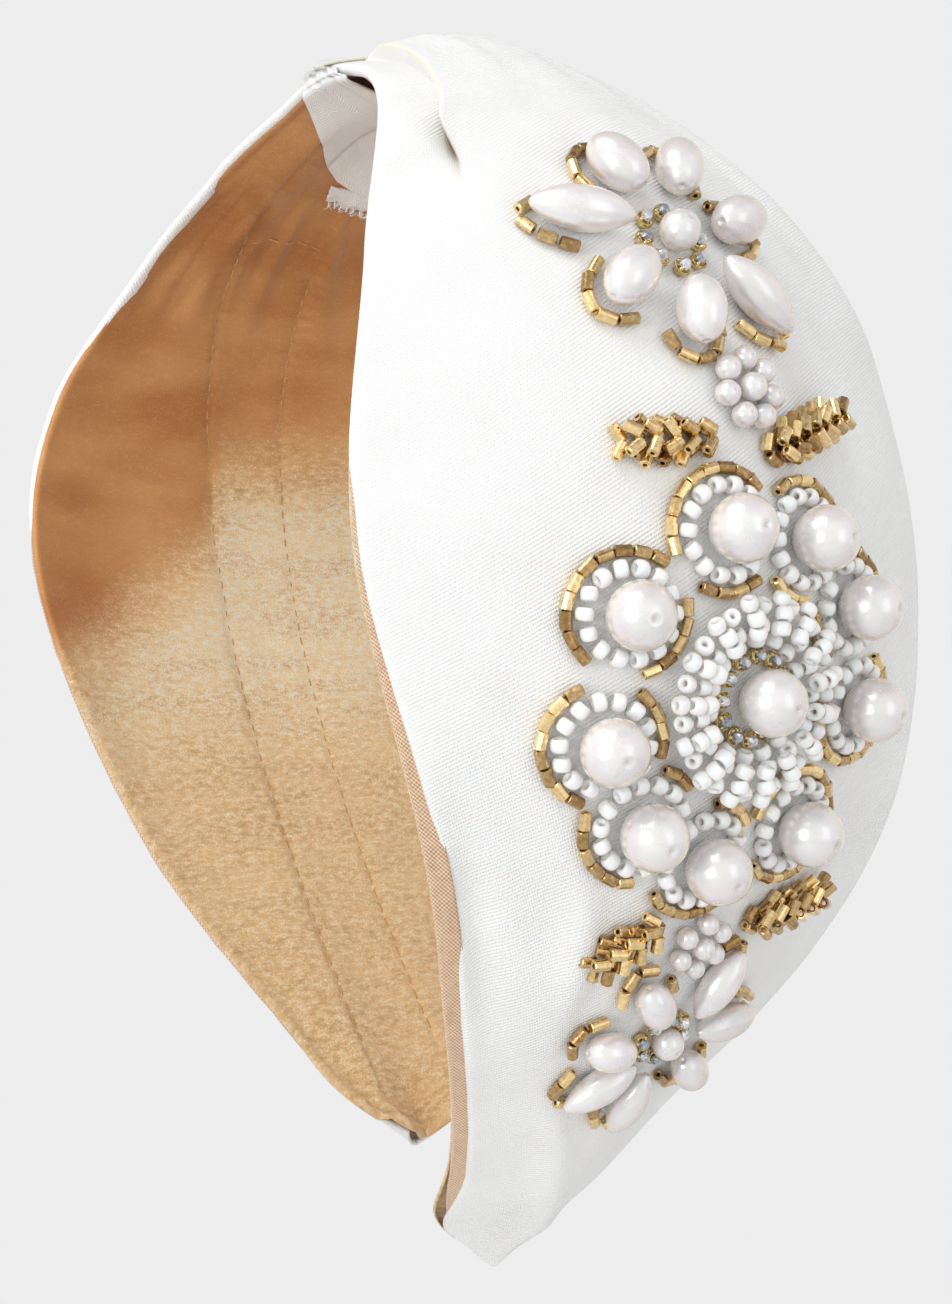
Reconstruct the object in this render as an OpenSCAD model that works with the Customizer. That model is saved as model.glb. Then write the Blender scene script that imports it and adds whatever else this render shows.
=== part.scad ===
// Turban-style headband: two padded satin arms meet under a wrapped knot on the crown.
// The right arm carries a row of beaded flowers. A thin sprung frame band runs through both arms.
//
// Frame: X runs across the head, with the beaded arm on +X. Y runs from the front edge (-Y) to the
// back edge (+Y), and +Z is up. The origin is the underside of the knot, where the band rests on the head.
//
// A place on the band is given by t, y and depth. t is 0 on the crown, 1 at the right arm's tip and -1 at
// the left arm's tip. y is the distance across the band, and depth is measured inwards from the outer face.
// On the right arm, s is the distance in mm along the middle of the arm from the crown.

/* [Band] */
// Height of the crown's outer face above the right arm's tip
band_h = 172; // [166:1:178]
// How much higher the left arm's tip ends
left_tip_rise = 16; // [10:1:20]
// How far the arms run sideways before they turn down
shoulder_reach = 78; // [74:1:82]
// Sideways pull of the right arm's lower half
right_bulge = 103; // [98:1:108]
// Sideways pull of the left arm's lower half
left_bulge = 72; // [68:1:78]
// How far outside the middle of the crown the right tip ends
right_tip_x = -5; // [-6:1:0]
// How far outside the middle of the crown the left tip ends
left_tip_x = 22; // [20:1:26]
// Half length of the wrapped knot along the arms, as a share of the right arm
knot_reach = 0.080; // [0.078:0.001:0.084]

/* [Layers] */
// Thickness of the satin cover
cover_t = 0.8; // [0.6:0.1:0.9]
// Thickness of the foam padding in the middle of the band
pad_t = 2.4; // [1.8:0.1:2.6]
// Thickness of the frame band
frame_t = 1.4; // [1:0.1:1.6]
// Thickness of the lining
lining_t = 0.6; // [0.4:0.1:0.8]
// Thickness of the knot's wrap
wrap_t = 1.0; // [0.8:0.1:1.4]
// Gap kept between two layers
gap = 0.2; // [0.15:0.05:0.25]
// Width of the stitched channel at the crown
channel_w_crown = 15.5; // [14:0.5:16]
// Width of the stitched channel at the tips
channel_w_tip = 12; // [11:0.5:13]

/* [Flex] */
// Distance from the middle of the crown to the line where an arm flexes
flex_x = 16; // [15.5:0.1:16.5]

/* [Beads] */
// Diameter of the big round pearls
pearl_d = 8; // [7.6:0.1:8.2]
// Diameter of the round pearl in the middle of a small flower
centre_d = 5; // [4.6:0.1:5.2]
// Diameter of the cluster pearls
cluster_d = 3.1; // [2.9:0.1:3.2]
// Diameter of a seed bead
seed_d = 2.1; // [1.9:0.1:2.15]
// Diameter of a tube bead
tube_d = 1.5; // [1.3:0.1:1.6]
// Length of a tube bead
tube_l = 1.8; // [1.6:0.1:1.8]
// Diameter of a rhinestone's cup
stone_d = 2.3; // [2:0.1:2.4]
// Radius of the ring that the big flower's petals stand on
flower_r = 20; // [19.6:0.1:21]

/* [Hidden] */

satin = [0.95, 0.94, 0.92];
gold_cloth = [0.83, 0.62, 0.38];
foam = [0.90, 0.88, 0.80];
steel = [0.62, 0.63, 0.65];
pearl_white = [0.97, 0.95, 0.93];
bead_gold = [0.66, 0.50, 0.24];
cup_gold = [0.75, 0.62, 0.36];
crystal = [0.88, 0.92, 0.95];
thread = [0.80, 0.66, 0.45];

// ---- Depths of the layers, from the outer face inwards ----
pad_top = cover_t + gap;
frame_top = pad_top + pad_t + gap;
lining_top = frame_top + frame_t + gap;
edge_depth = cover_t + gap;
stack_t = lining_top + lining_t;
wrap_clear = 0.6;
// The outer face of the crown, above the knot's underside
crown_z = stack_t + wrap_clear + wrap_t;

// ---- Shape of the band: control values from the crown to the tip ----
right_arm_x = [0, shoulder_reach, right_bulge, right_tip_x];
right_arm_z = [0, 0, -110, -band_h];
left_arm_x = [0, shoulder_reach, left_bulge, left_tip_x];
left_arm_z = [0, 0, -75, left_tip_rise - band_h];
// Half widths and edge droops at equal steps of t from the crown to the tip
front_half_w = [14, 22, 36, 42, 30, 10];
back_half_w = [9, 26, 38, 41, 35, 10];
front_droop = [2, 4.5, 11, 14, 6, 4];
back_droop = [3, 7, 10, 10, 5.5, 5.5];
droop_power = 1.7;
// The tips are rounded from here to 1
tip_round_start = 0.94;
tip_end = 0.997;
frame_end = 0.955;

function unit(v) = v / norm(v);
function smooth(x) = let (c = min(max(x, 0), 1)) c * c * (3 - 2 * c);
function bezier(c, t) =
    pow(1 - t, 3) * c[0] + 3 * pow(1 - t, 2) * t * c[1] + 3 * (1 - t) * t * t * c[2] + pow(t, 3) * c[3];
function bezier_slope(c, t) =
    3 * pow(1 - t, 2) * (c[1] - c[0]) + 6 * (1 - t) * t * (c[2] - c[1]) + 3 * t * t * (c[3] - c[2]);

// A smooth curve through values at equal steps of t from 0 to 1
function along(values, t) =
    let (last = len(values) - 1,
         i = min(floor(t * last), last - 1),
         f = t * last - i,
         a = values[max(i - 1, 0)],
         b = values[i],
         c = values[i + 1],
         d = values[min(i + 2, last)])
    b + f * (c - a) / 2 + f * f * (a - 2.5 * b + 2 * c - d / 2) + f * f * f * (1.5 * (b - c) + (d - a) / 2);

function tip_round(t) =
    t < tip_round_start ? 1 : sqrt(max(0, 1 - pow((t - tip_round_start) / (1 - tip_round_start), 2)));
function half_w(t, y) =
    along(y < 0 ? front_half_w : back_half_w, abs(t)) * tip_round(abs(t));
function droop(t, y) =
    along(y < 0 ? front_droop : back_droop, abs(t)) * pow(abs(y) / max(half_w(t, y), 0.01), droop_power);

// A point of the band, at any t from -1 to 1
function band_point(t, y, depth) =
    let (q = abs(t),
         side = t < 0 ? -1 : 1,
         cx = t < 0 ? left_arm_x : right_arm_x,
         cz = t < 0 ? left_arm_z : right_arm_z,
         slope = unit([bezier_slope(cx, q), bezier_slope(cz, q)]),
         out = -droop(t, y) - depth)
    [side * (bezier(cx, q) - slope[1] * out), y, crown_z + bezier(cz, q) + slope[0] * out];

// Axes that lie on the band: x across it, y towards the crown, z straight out of it
function band_frame(t, y, depth) =
    let (side = t < 0 ? -1 : 1,
         step = 0.002 * side,
         across = side * unit(band_point(t, y + 0.5, depth) - band_point(t, y - 0.5, depth)),
         up = band_point(t - step, y, depth) - band_point(t + step, y, depth),
         normal = unit(cross(across, up)),
         crownward = cross(normal, across),
         p = band_point(t, y, depth))
    [[across[0], crownward[0], normal[0], p[0]],
     [across[1], crownward[1], normal[1], p[1]],
     [across[2], crownward[2], normal[2], p[2]],
     [0, 0, 0, 1]];

// Distance along the middle of an arm, as rows of [distance, t]
arc_steps = 100;
function arc_table(side) = [
    for (i = 0, s = 0; i <= arc_steps;
         s = s + norm(band_point(side * (i + 1) / arc_steps, 0, 0) - band_point(side * i / arc_steps, 0, 0)),
         i = i + 1)
        [s, side * i / arc_steps]
];
right_arc = arc_table(1);
left_arc = arc_table(-1);
function arm_length(arc) = arc[arc_steps][0];

// t of the line where an arm flexes, and how far the layers and the frame keep off it
flex_t = lookup(flex_x, [for (i = [0:20]) [band_point(i / 100, 0, 0)[0], i / 100]]);
layer_gap_t = 0.006;
padding_gap_t = 0.003;
frame_gap_t = 0.001;

// ---- Widths and depths of each layer ----
frame_side_room = 0.9;
function channel_half(t) = (channel_w_crown + (channel_w_tip - channel_w_crown) * abs(t)) / 2;
tip_lining_depth = 3;
function lining_depth(t, y) =
    let (room = max(half_w(t, y) - channel_half(t), 1),
         rise = 1 - smooth((abs(y) - channel_half(t)) / room),
         middle = lining_top - (lining_top - tip_lining_depth) * smooth((abs(t) - frame_end) / (1 - frame_end)))
    edge_depth + (middle - edge_depth) * rise;

// The lining is turned out over the front edge of the lower half. The cover ends short of that hem.
hem_t = 0.4;
hem_depth = 0.3;
hem_w_start = 1;
hem_w_full = 3;
hem_start = 0.53;
hem_full = 0.8;
hem_end = 0.93;
hem_step_back = 0.05;
function hem_w(t) =
    hem_w_start + (hem_w_full - hem_w_start) * smooth((abs(t) - hem_start) / (hem_full - hem_start));
function cover_inset(t) =
    (hem_w(t) + 1.5 * gap) * smooth((abs(t) - hem_start + hem_step_back) / hem_step_back)
        * smooth((tip_end - abs(t)) / (tip_end - hem_end));

cover_across = function(t, u) u * (half_w(t, u) - (u < 0 ? cover_inset(t) : 0));
padding_across = function(t, u) 0.85 * u * half_w(t, u);
frame_across = function(t, u) u * (channel_half(t) - frame_side_room);
lining_across = function(t, u) 0.985 * u * half_w(t, u);

cover_outer = function(t, y) 0;
cover_inner = function(t, y) cover_t;
padding_outer = function(t, y) pad_top;
padding_inner = function(t, y) min(pad_top + pad_t, lining_depth(t, y) - gap);
frame_outer = function(t, y) frame_top;
frame_inner = function(t, y) frame_top + frame_t;
lining_outer = function(t, y) lining_depth(t, y);
lining_inner = function(t, y) lining_depth(t, y) + lining_t;

// ---- Stations along an arm and shares across it ----
arm_steps = 26;
function to_tip(start, end) = concat(
    [for (i = [0:arm_steps]) start + (tip_round_start - start) * i / arm_steps],
    [for (f = [0.3, 0.6, 0.8, 1]) tip_round_start + (end - tip_round_start) * f]);
function evenly(start, end, steps) = [for (i = [0:steps]) start + (end - start) * i / steps];
function other_arm(ts) = [for (i = [len(ts) - 1:-1:0]) -ts[i]];
layer_ts = to_tip(flex_t + layer_gap_t, tip_end);
inner_ts = [for (t = layer_ts) if (t <= tip_round_start) t];
padding_ts = concat(inner_ts, [frame_end]);
frame_ts = concat([flex_t + frame_gap_t], inner_ts, [frame_end]);
crown_frame_ts = evenly(-flex_t + frame_gap_t, flex_t - frame_gap_t, 8);
wide_shares = evenly(-1, 1, 14);
narrow_shares = evenly(-1, 1, 4);

// ---- Solids that follow the band ----
// A closed sheet between two depths. across(t, u) turns a share u, -1 at the front and 1 at the back, into y.
module sheet(ts, us, across, outer, inner) {
    m = len(us);
    under = len(ts) * m;
    grid = [for (t = ts) for (u = us) [t, across(t, u)]];
    points = concat(
        [for (g = grid) band_point(g[0], g[1], outer(g[0], g[1]))],
        [for (g = grid) band_point(g[0], g[1], inner(g[0], g[1]))]);
    last = len(ts) - 1;
    rim = concat(
        [for (i = [0:last]) i * m],
        [for (j = [1:m - 1]) last * m + j],
        [for (i = [last - 1:-1:0]) i * m + m - 1],
        [for (j = [m - 2:-1:1]) j]);
    faces = concat(
        [for (i = [0:last - 1]) for (j = [0:m - 2]) let (a = i * m + j, b = under + a) each [
            [a, a + 1, a + m + 1],
            [a, a + m + 1, a + m],
            [b, b + m + 1, b + 1],
            [b, b + m, b + m + 1]]],
        [for (k = [0:len(rim) - 1]) let (a = rim[k], b = rim[(k + 1) % len(rim)]) each [
            [a, b, under + b],
            [a, under + b, under + a]]]);
    polyhedron(points, faces, convexity = 8);
}

// A sleeve along the stations ts. outer(t, a) and inner(t, a) give [y, depth] at the angle a round it.
module sleeve(ts, sides, outer, inner) {
    last = len(ts) - 1;
    hole = len(ts) * sides;
    points = concat(
        [for (t = ts) for (k = [0:sides - 1]) let (q = outer(t, 360 * k / sides)) band_point(t, q[0], q[1])],
        [for (t = ts) for (k = [0:sides - 1]) let (q = inner(t, 360 * k / sides)) band_point(t, q[0], q[1])]);
    walls = [for (i = [0:last - 1]) for (k = [0:sides - 1])
        let (a = i * sides + k, b = i * sides + (k + 1) % sides, c = a + sides, d = b + sides) each [
            [a, c, d],
            [a, d, b],
            [hole + a, hole + d, hole + c],
            [hole + a, hole + b, hole + d]]];
    ends = [for (k = [0:sides - 1])
        let (a = k, b = (k + 1) % sides, c = last * sides + a, d = last * sides + b) each [
            [a, b, hole + b],
            [a, hole + b, hole + a],
            [c, hole + d, d],
            [c, hole + c, hole + d]]];
    polyhedron(points, concat(walls, ends), convexity = 8);
}

// A loop round all the layers, at a clearance from them
corner_power = 0.25;
function corner(x) = sign(x) * pow(abs(x), corner_power);
function loop_round_layers(t, a, side_clear, face_clear) =
    let (front = half_w(t, -1) + side_clear,
         back = half_w(t, 1) + side_clear,
         y = (back - front) / 2 + (back + front) / 2 * corner(cos(a)),
         half = (lining_depth(t, 0.85 * y) + lining_t) / 2)
    [y, half - (half + face_clear) * corner(sin(a))];
// A loop round the frame band
function loop_round_frame(t, a, clear) =
    [(channel_half(t) - frame_side_room + 3 * clear) * corner(cos(a)),
     frame_top + frame_t / 2 - (frame_t / 2 + 1.4 * clear) * corner(sin(a))];

// ---- Crown ----
knot_sides = 32;
side_clear = 0.8;
// The wrap's mouths flare, so that the arms can flex in them
mouth_start = 0.045;
mouth_flare = 0.9;
function flare(t) = mouth_flare * smooth((abs(t) - mouth_start) / (knot_reach - mouth_start));
module knot_wrap() {
    color(satin)
        sleeve(evenly(-knot_reach, knot_reach, 12), knot_sides,
            function(t, a) loop_round_layers(t, a, side_clear + wrap_t, wrap_clear + flare(t) + wrap_t),
            function(t, a) loop_round_layers(t, a, side_clear, wrap_clear + flare(t)));
}

// The wrap's end, turned in and sewn down on the left arm's lining
tail_start = 0.085;
tail_end = 0.112;
tail_t = 0.5;
tail_y = 4;
tail_half_w = 4.5;
tail_taper = 40;
function tail_depth(t, y) = lining_depth(t, 0.9 * y) + lining_t + 2 * gap;
module knot_tail() {
    color(satin)
        sheet(evenly(-tail_end, -tail_start, 6), evenly(-1, 1, 6),
            function(t, u) tail_y + u * (tail_half_w - tail_taper * (abs(t) - tail_start)),
            function(t, y) tail_depth(t, y),
            function(t, y) tail_depth(t, y) + tail_t);
}

// Short stitches along the tail's edge
stitch_d = 0.35;
tail_stitch_l = 1.6;
tail_stitch_pitch = 1.1;
module stitch(length) {
    rotate([0, 90, 0])
        cylinder(d = stitch_d, h = length, center = true, $fn = 16);
}

module knot_stitches() {
    color(satin)
        for (i = [0:5])
            let (y = tail_y + tail_stitch_pitch * (i - 2.5))
            multmatrix(band_frame(-tail_end + 0.008, y, tail_depth(-tail_end, y) + tail_t))
                translate([0, 0, -stitch_d])
                    rotate([0, 0, 70 + 10 * (i % 3)])
                        stitch(tail_stitch_l);
}

module crown_padding() {
    color(foam)
        sleeve(evenly(-flex_t + padding_gap_t, flex_t - padding_gap_t, 8), knot_sides,
            function(t, a) loop_round_layers(t, a, 0, 0),
            function(t, a) loop_round_frame(t, a, gap));
}

module frame_crown() {
    color(steel)
        sheet(crown_frame_ts, narrow_shares, frame_across, frame_outer, frame_inner);
}

// ---- Arms: each takes the stations of the right arm, or the same ones on the left arm ----
module frame_arm(ts) {
    color(steel)
        sheet(ts, narrow_shares, frame_across, frame_outer, frame_inner);
}

module padding_arm(ts) {
    color(foam)
        sheet(ts, evenly(-1, 1, 10), padding_across, padding_outer, padding_inner);
}

module cover_arm(ts) {
    color(satin)
        sheet(ts, wide_shares, cover_across, cover_outer, cover_inner);
}

module lining_arm(ts) {
    color(gold_cloth)
        sheet(ts, wide_shares, lining_across, lining_outer, lining_inner);
}

// The lining's hem, beside the cover's front edge
module hem(ts) {
    color(gold_cloth)
        sheet([for (t = ts) if (abs(t) >= hem_start && abs(t) <= hem_end) t], evenly(-1, 0, 2),
            function(t, u) -half_w(t, -1) + hem_w(t) * (1 + u),
            function(t, y) hem_depth,
            function(t, y) hem_depth + hem_t);
}

// Two rows of stitches that hold the frame's channel, and a row across its top end
stitch_pitch = 4;
stitch_l = 2.2;
channel_stitch_start = 31;
channel_stitch_end = 14;
cross_row_y = [-3.6, 0, 3.6];
module stitch_in_lining(t, y, turn) {
    multmatrix(band_frame(t, y, lining_depth(t, y) + lining_t))
        translate([0, 0, -stitch_d])
            rotate([0, 0, turn])
                stitch(stitch_l);
}

module channel_stitches(arc) {
    count = floor((arm_length(arc) - channel_stitch_end - channel_stitch_start) / stitch_pitch);
    color(thread) {
        for (i = [0:count], edge = [-1, 1])
            let (t = lookup(channel_stitch_start + i * stitch_pitch, arc))
            stitch_in_lining(t, edge * channel_half(t), 90);
        for (y = cross_row_y)
            stitch_in_lining(lookup(channel_stitch_start - 1, arc), y, 0);
    }
}

// ---- Embroidery ----
// Places children on the right arm's cover: z out of it, x across it to the back, turned by an angle
bead_gap = 0.15;
module on_cover(place, lift, turn = 0) {
    multmatrix(band_frame(lookup(place[0], right_arc), place[1], 0))
        translate([0, 0, lift + bead_gap])
            rotate([0, 0, turn])
                children();
}

// [s, y] of a spot out mm from a middle in the direction angle, and aside mm to its left.
// The angle runs from the back edge round to the crown.
function spot(middle, angle, out, aside = 0) =
    [middle[0] - out * sin(angle) - aside * cos(angle),
     middle[1] + out * cos(angle) - aside * sin(angle)];
function clear_of(place, others, distance) = min([for (o = others) norm(place - o)]) > distance;

// Beads and stones, lying along x
bead_hole_d = 0.7;
module tube_bead() {
    rotate([0, 90, 0])
        rotate_extrude($fn = 24)
            translate([bead_hole_d / 2, -tube_l / 2])
                square([(tube_d - bead_hole_d) / 2, tube_l]);
}

seed_l = 1.6;
module seed_bead() {
    rotate([0, 90, 0])
        rotate_extrude($fn = 24)
            polygon([
                [bead_hole_d / 2, -seed_l / 2],
                [seed_d * 0.36, -seed_l / 2],
                [seed_d / 2, -seed_l * 0.2],
                [seed_d / 2, seed_l * 0.2],
                [seed_d * 0.36, seed_l / 2],
                [bead_hole_d / 2, seed_l / 2]]);
}

module round_pearl(d) {
    sphere(d = d, $fn = 32);
}

module oval_pearl(l, w) {
    rotate([0, 90, 0])
        rotate_extrude($fn = 32)
            polygon([for (a = [0:18:180]) [w / 2 * sin(a), l / 2 * cos(a)]]);
}

module navette_pearl(l, w) {
    rotate([0, 90, 0])
        rotate_extrude($fn = 32)
            polygon([for (k = [-1:0.2:1.001]) [max(0, w / 2 * (1 - k * k)), l / 2 * k]]);
}

cup_h = 1.0;
cup_wall = 0.2;
module stone_cup() {
    rotate_extrude($fn = 32)
        polygon([
            [0, 0],
            [stone_d / 2 - cup_wall, 0],
            [stone_d / 2, cup_h],
            [stone_d / 2 - cup_wall, cup_h],
            [stone_d / 2 - 2 * cup_wall, cup_wall],
            [0, cup_wall]]);
}

stone_foot = 0.3;
stone_table = 1.7;
module rhinestone() {
    rotate_extrude($fn = 32)
        polygon([
            [0, stone_foot],
            [stone_d / 2 - 0.35, cup_h],
            [stone_d / 4, stone_table],
            [0, stone_table]]);
}

// ---- Small flowers: a middle [s, y] and petals [angle, is a navette] ----
oval_size = [8.5, 6];
navette_size = [12.5, 5.4];
oval_out = 10.6;
navette_out = 11.8;
upper_flower = [86, -2];
lower_flower = [187, 2];
upper_petals = [[165, true], [116, false], [68, false], [16, false], [-40, true], [-95, false], [-143, false]];
lower_petals = [[124, false], [59, true], [6, true], [-44, false], [-103, true], [-143, true], [177, false]];
// The lower flower is smaller all round
upper_flower_size = 1;
lower_flower_size = 0.82;
small_stone_r = 3.9;
small_stone_count = 8;

function petal_middle(flower, petal, size) =
    spot(flower, petal[0], size * (petal[1] ? navette_out : oval_out));

module flower_centre(flower, size) {
    color(pearl_white)
        on_cover(flower, size * centre_d / 2)
            round_pearl(size * centre_d);
}

module oval_petals(flower, petals, size) {
    color(pearl_white)
        for (p = petals)
            if (!p[1])
                on_cover(petal_middle(flower, p, size), size * oval_size[1] / 2, p[0])
                    oval_pearl(size * oval_size[0], size * oval_size[1]);
}

module navette_petals(flower, petals, size) {
    color(pearl_white)
        for (p = petals)
            if (p[1])
                on_cover(petal_middle(flower, p, size), size * navette_size[1] / 2, p[0])
                    navette_pearl(size * navette_size[0], size * navette_size[1]);
}

// Tube beads round the outer end of a petal, as [out, aside, angle] from the petal's middle
outline_pitch = tube_l + 0.65;
outline_last_angle = 104;
navette_outline_shares = [0.95, 0.57, 0.17];
outline_clear = 0.9;
function one_bead_on(l, w, a) = outline_pitch / norm([l * sin(a), w * cos(a)]) * 180 / PI;
function oval_outline(l, w) = [
    for (a = one_bead_on(l, w, 0) / 2; a < outline_last_angle; a = a + one_bead_on(l, w, a))
        each [for (b = [a, -a]) [l * cos(b), w * sin(b), atan2(w * cos(b), -l * sin(b))]]
];
function navette_outline(l, w) = [
    for (k = navette_outline_shares, side = [-1, 1])
        [l / 2 * k, side * (w / 2 * (1 - k * k) + 1.4 * outline_clear), -side * atan(2 * w * k / l)]
];
function petal_outline(petal, size) =
    petal[1]
    ? navette_outline(size * navette_size[0], size * navette_size[1])
    : oval_outline(size * oval_size[0] / 2 + outline_clear, size * oval_size[1] / 2 + outline_clear);

// A tube bead this near the middle of another petal or of the cluster is left out
petal_keep_off = 5.8;
module petal_outlines(flower, petals, size, cluster_middle) {
    color(bead_gold)
        for (i = [0:len(petals) - 1], o = petal_outline(petals[i], size))
            let (p = petals[i],
                 place = spot(petal_middle(flower, p, size), p[0], o[0], o[1]),
                 others = [for (j = [0:len(petals) - 1]) if (j != i) petal_middle(flower, petals[j], size)])
            if (clear_of(place, concat(others, [cluster_middle]), petal_keep_off))
                on_cover(place, tube_d / 2, p[0] + o[2])
                    tube_bead();
}

module ring_of_cups(middle, r, count) {
    color(cup_gold)
        for (i = [0:count - 1])
            on_cover(spot(middle, 360 * i / count, r), 0)
                stone_cup();
}

module ring_of_stones(middle, r, count) {
    color(crystal)
        for (i = [0:count - 1])
            on_cover(spot(middle, 360 * i / count, r), 0)
                rhinestone();
}

// ---- Clusters: one pearl with a ring of the same pearls ----
upper_cluster = [105.2, 2.9];
lower_cluster = [172.6, 2.2];
cluster_ring = 1.16;
lower_cluster_size = 0.87;
module cluster(middle, count, size) {
    d = cluster_d * size;
    color(pearl_white) {
        on_cover(middle, d * 0.65)
            round_pearl(d * 1.1);
        for (i = [0:count - 1])
            on_cover(spot(middle, 360 * i / count + 90, cluster_ring * d), d / 2)
                round_pearl(d);
    }
}

// ---- Leaves: slanting rows of tube beads on both sides of a middle line ----
leaf_slant = 45;
leaf_pitch = 2.25;
leaf_side = 0.85;
// Each leaf's base [s, y], its direction and its length
upper_front_leaf = [[111.2, -3], 181, 15];
upper_back_leaf = [[112.5, 5.3], 21.5, 19];
lower_front_leaf = [[168.7, -5], 218, 12];
lower_back_leaf = [[171, 10], 8, 17];
// Middle of the second layer of beads above the cover
leaf_top_lift = 2.5;
module leaf(place) {
    base = place[0];
    angle = place[1];
    rows = floor(place[2] / leaf_pitch);
    color(bead_gold) {
        for (i = [0:rows - 1], side = [-1, 1])
            let (beads = i > 0 && i < rows - 2 ? 2 : 1)
            for (j = [0:beads - 1])
                let (run = tube_l / 2 + j * (tube_l + bead_gap))
                on_cover(
                    spot(base, angle, i * leaf_pitch + run * cos(leaf_slant),
                        side * (leaf_side + run * sin(leaf_slant))),
                    tube_d / 2, angle + side * leaf_slant)
                    tube_bead();
        for (i = [0:rows - 2], side = [-1, 1])
            on_cover(
                spot(base, angle, (i + 0.5) * leaf_pitch + tube_l / 2 * cos(leaf_slant),
                    side * (leaf_side + tube_l / 2 * sin(leaf_slant))),
                leaf_top_lift, angle + side * leaf_slant)
                tube_bead();
    }
}

// ---- Big flower ----
big_flower = [141, 2.8];
petal_angles = [104.5, 66.5, 30.5, -7.5, -58, -101, -131.5, -165, 150];
petal_count = len(petal_angles);
seed_ring_r = pearl_d / 2 + seed_d / 2 + bead_gap;
seed_ring_count = 14;
outline_r = seed_ring_r + seed_d / 2 + tube_d / 2 + bead_gap;
outline_count = 20;
// A tube bead this near a neighbour's middle is left out
outline_keep_off = outline_r + 2;
// So is a seed bead that would sit in the ring of the petal before
seed_keep_off = seed_ring_r + seed_d + bead_gap;
petal_middles = [for (a = petal_angles) spot(big_flower, a, flower_r)];
function petal_before(k) = petal_middles[(k + petal_count - 1) % petal_count];
function petal_after(k) = petal_middles[(k + 1) % petal_count];

module petal_pearls() {
    color(pearl_white)
        for (m = petal_middles)
            on_cover(m, pearl_d / 2)
                round_pearl(pearl_d);
}

module petal_seed_beads() {
    color(pearl_white)
        for (k = [0:petal_count - 1], i = [0:seed_ring_count - 1])
            let (a = 360 * i / seed_ring_count,
                 place = spot(petal_middles[k], a, seed_ring_r))
            if (clear_of(place, [petal_before(k)], seed_keep_off))
                on_cover(place, seed_d / 2, a + 90)
                    seed_bead();
}

module petal_outline_tubes() {
    color(bead_gold)
        for (k = [0:petal_count - 1], i = [0:outline_count - 1])
            let (a = 360 * i / outline_count + petal_angles[k],
                 place = spot(petal_middles[k], a, outline_r))
            if (clear_of(place, [petal_before(k), petal_after(k)], outline_keep_off))
                on_cover(place, tube_d / 2, a + 90)
                    tube_bead();
}

// Short strings of seed beads radiate from the middle, long and short in turn. Each bead is [radius, extra lift].
rosette_strings = 30;
rosette_long = [[6.95, 0], [8.6, 0.9], [10.25, 0.6], [11.7, 1.95]];
rosette_short = [[8.3, 2.3], [10, 2.6], [11.7, 1.95]];
rosette_stone_r = 5.0;
rosette_stone_count = 12;
module rosette_seed_beads() {
    color(pearl_white)
        for (i = [0:rosette_strings - 1], bead = i % 2 == 0 ? rosette_long : rosette_short)
            let (a = 360 * i / rosette_strings)
            on_cover(spot(big_flower, a, bead[0]), seed_d / 2 + bead[1], a)
                seed_bead();
}

module rosette_centre_pearl() {
    color(pearl_white)
        on_cover(big_flower, pearl_d / 2)
            round_pearl(pearl_d);
}

// ---- Nodes ----
left_layer_ts = other_arm(layer_ts);
knot_wrap();
knot_tail();
knot_stitches();
crown_padding();
frame_crown();
frame_arm(frame_ts);  // frame_right
padding_arm(padding_ts);  // padding_right
cover_arm(layer_ts);  // cover_right
lining_arm(layer_ts);  // lining_right
hem(layer_ts);  // hem_right
channel_stitches(right_arc);  // channel_stitches_right
frame_arm(other_arm(frame_ts));  // frame_left
padding_arm(other_arm(padding_ts));  // padding_left
cover_arm(left_layer_ts);  // cover_left
lining_arm(left_layer_ts);  // lining_left
hem(left_layer_ts);  // hem_left
channel_stitches(left_arc);  // channel_stitches_left
flower_centre(upper_flower, upper_flower_size);  // upper_flower_centre
oval_petals(upper_flower, upper_petals, upper_flower_size);  // upper_flower_oval_pearls
navette_petals(upper_flower, upper_petals, upper_flower_size);  // upper_flower_navette_pearls
petal_outlines(upper_flower, upper_petals, upper_flower_size, upper_cluster);  // upper_flower_outline_tubes
ring_of_cups(upper_flower, upper_flower_size * small_stone_r, small_stone_count);  // upper_flower_stone_cups
ring_of_stones(upper_flower, upper_flower_size * small_stone_r, small_stone_count);  // upper_flower_rhinestones
cluster(upper_cluster, 7, 1);  // upper_cluster_pearls
leaf(upper_front_leaf);  // upper_front_leaf_tubes
leaf(upper_back_leaf);  // upper_back_leaf_tubes
petal_pearls();
petal_seed_beads();
petal_outline_tubes();
rosette_centre_pearl();
ring_of_cups(big_flower, rosette_stone_r, rosette_stone_count);  // rosette_stone_cups
ring_of_stones(big_flower, rosette_stone_r, rosette_stone_count);  // rosette_rhinestones
rosette_seed_beads();
leaf(lower_front_leaf);  // lower_front_leaf_tubes
leaf(lower_back_leaf);  // lower_back_leaf_tubes
cluster(lower_cluster, 6, lower_cluster_size);  // lower_cluster_pearls
flower_centre(lower_flower, lower_flower_size);  // lower_flower_centre
oval_petals(lower_flower, lower_petals, lower_flower_size);  // lower_flower_oval_pearls
navette_petals(lower_flower, lower_petals, lower_flower_size);  // lower_flower_navette_pearls
petal_outlines(lower_flower, lower_petals, lower_flower_size, lower_cluster);  // lower_flower_outline_tubes
ring_of_cups(lower_flower, lower_flower_size * small_stone_r, small_stone_count);  // lower_flower_stone_cups
ring_of_stones(lower_flower, lower_flower_size * small_stone_r, small_stone_count);  // lower_flower_rhinestones
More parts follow.
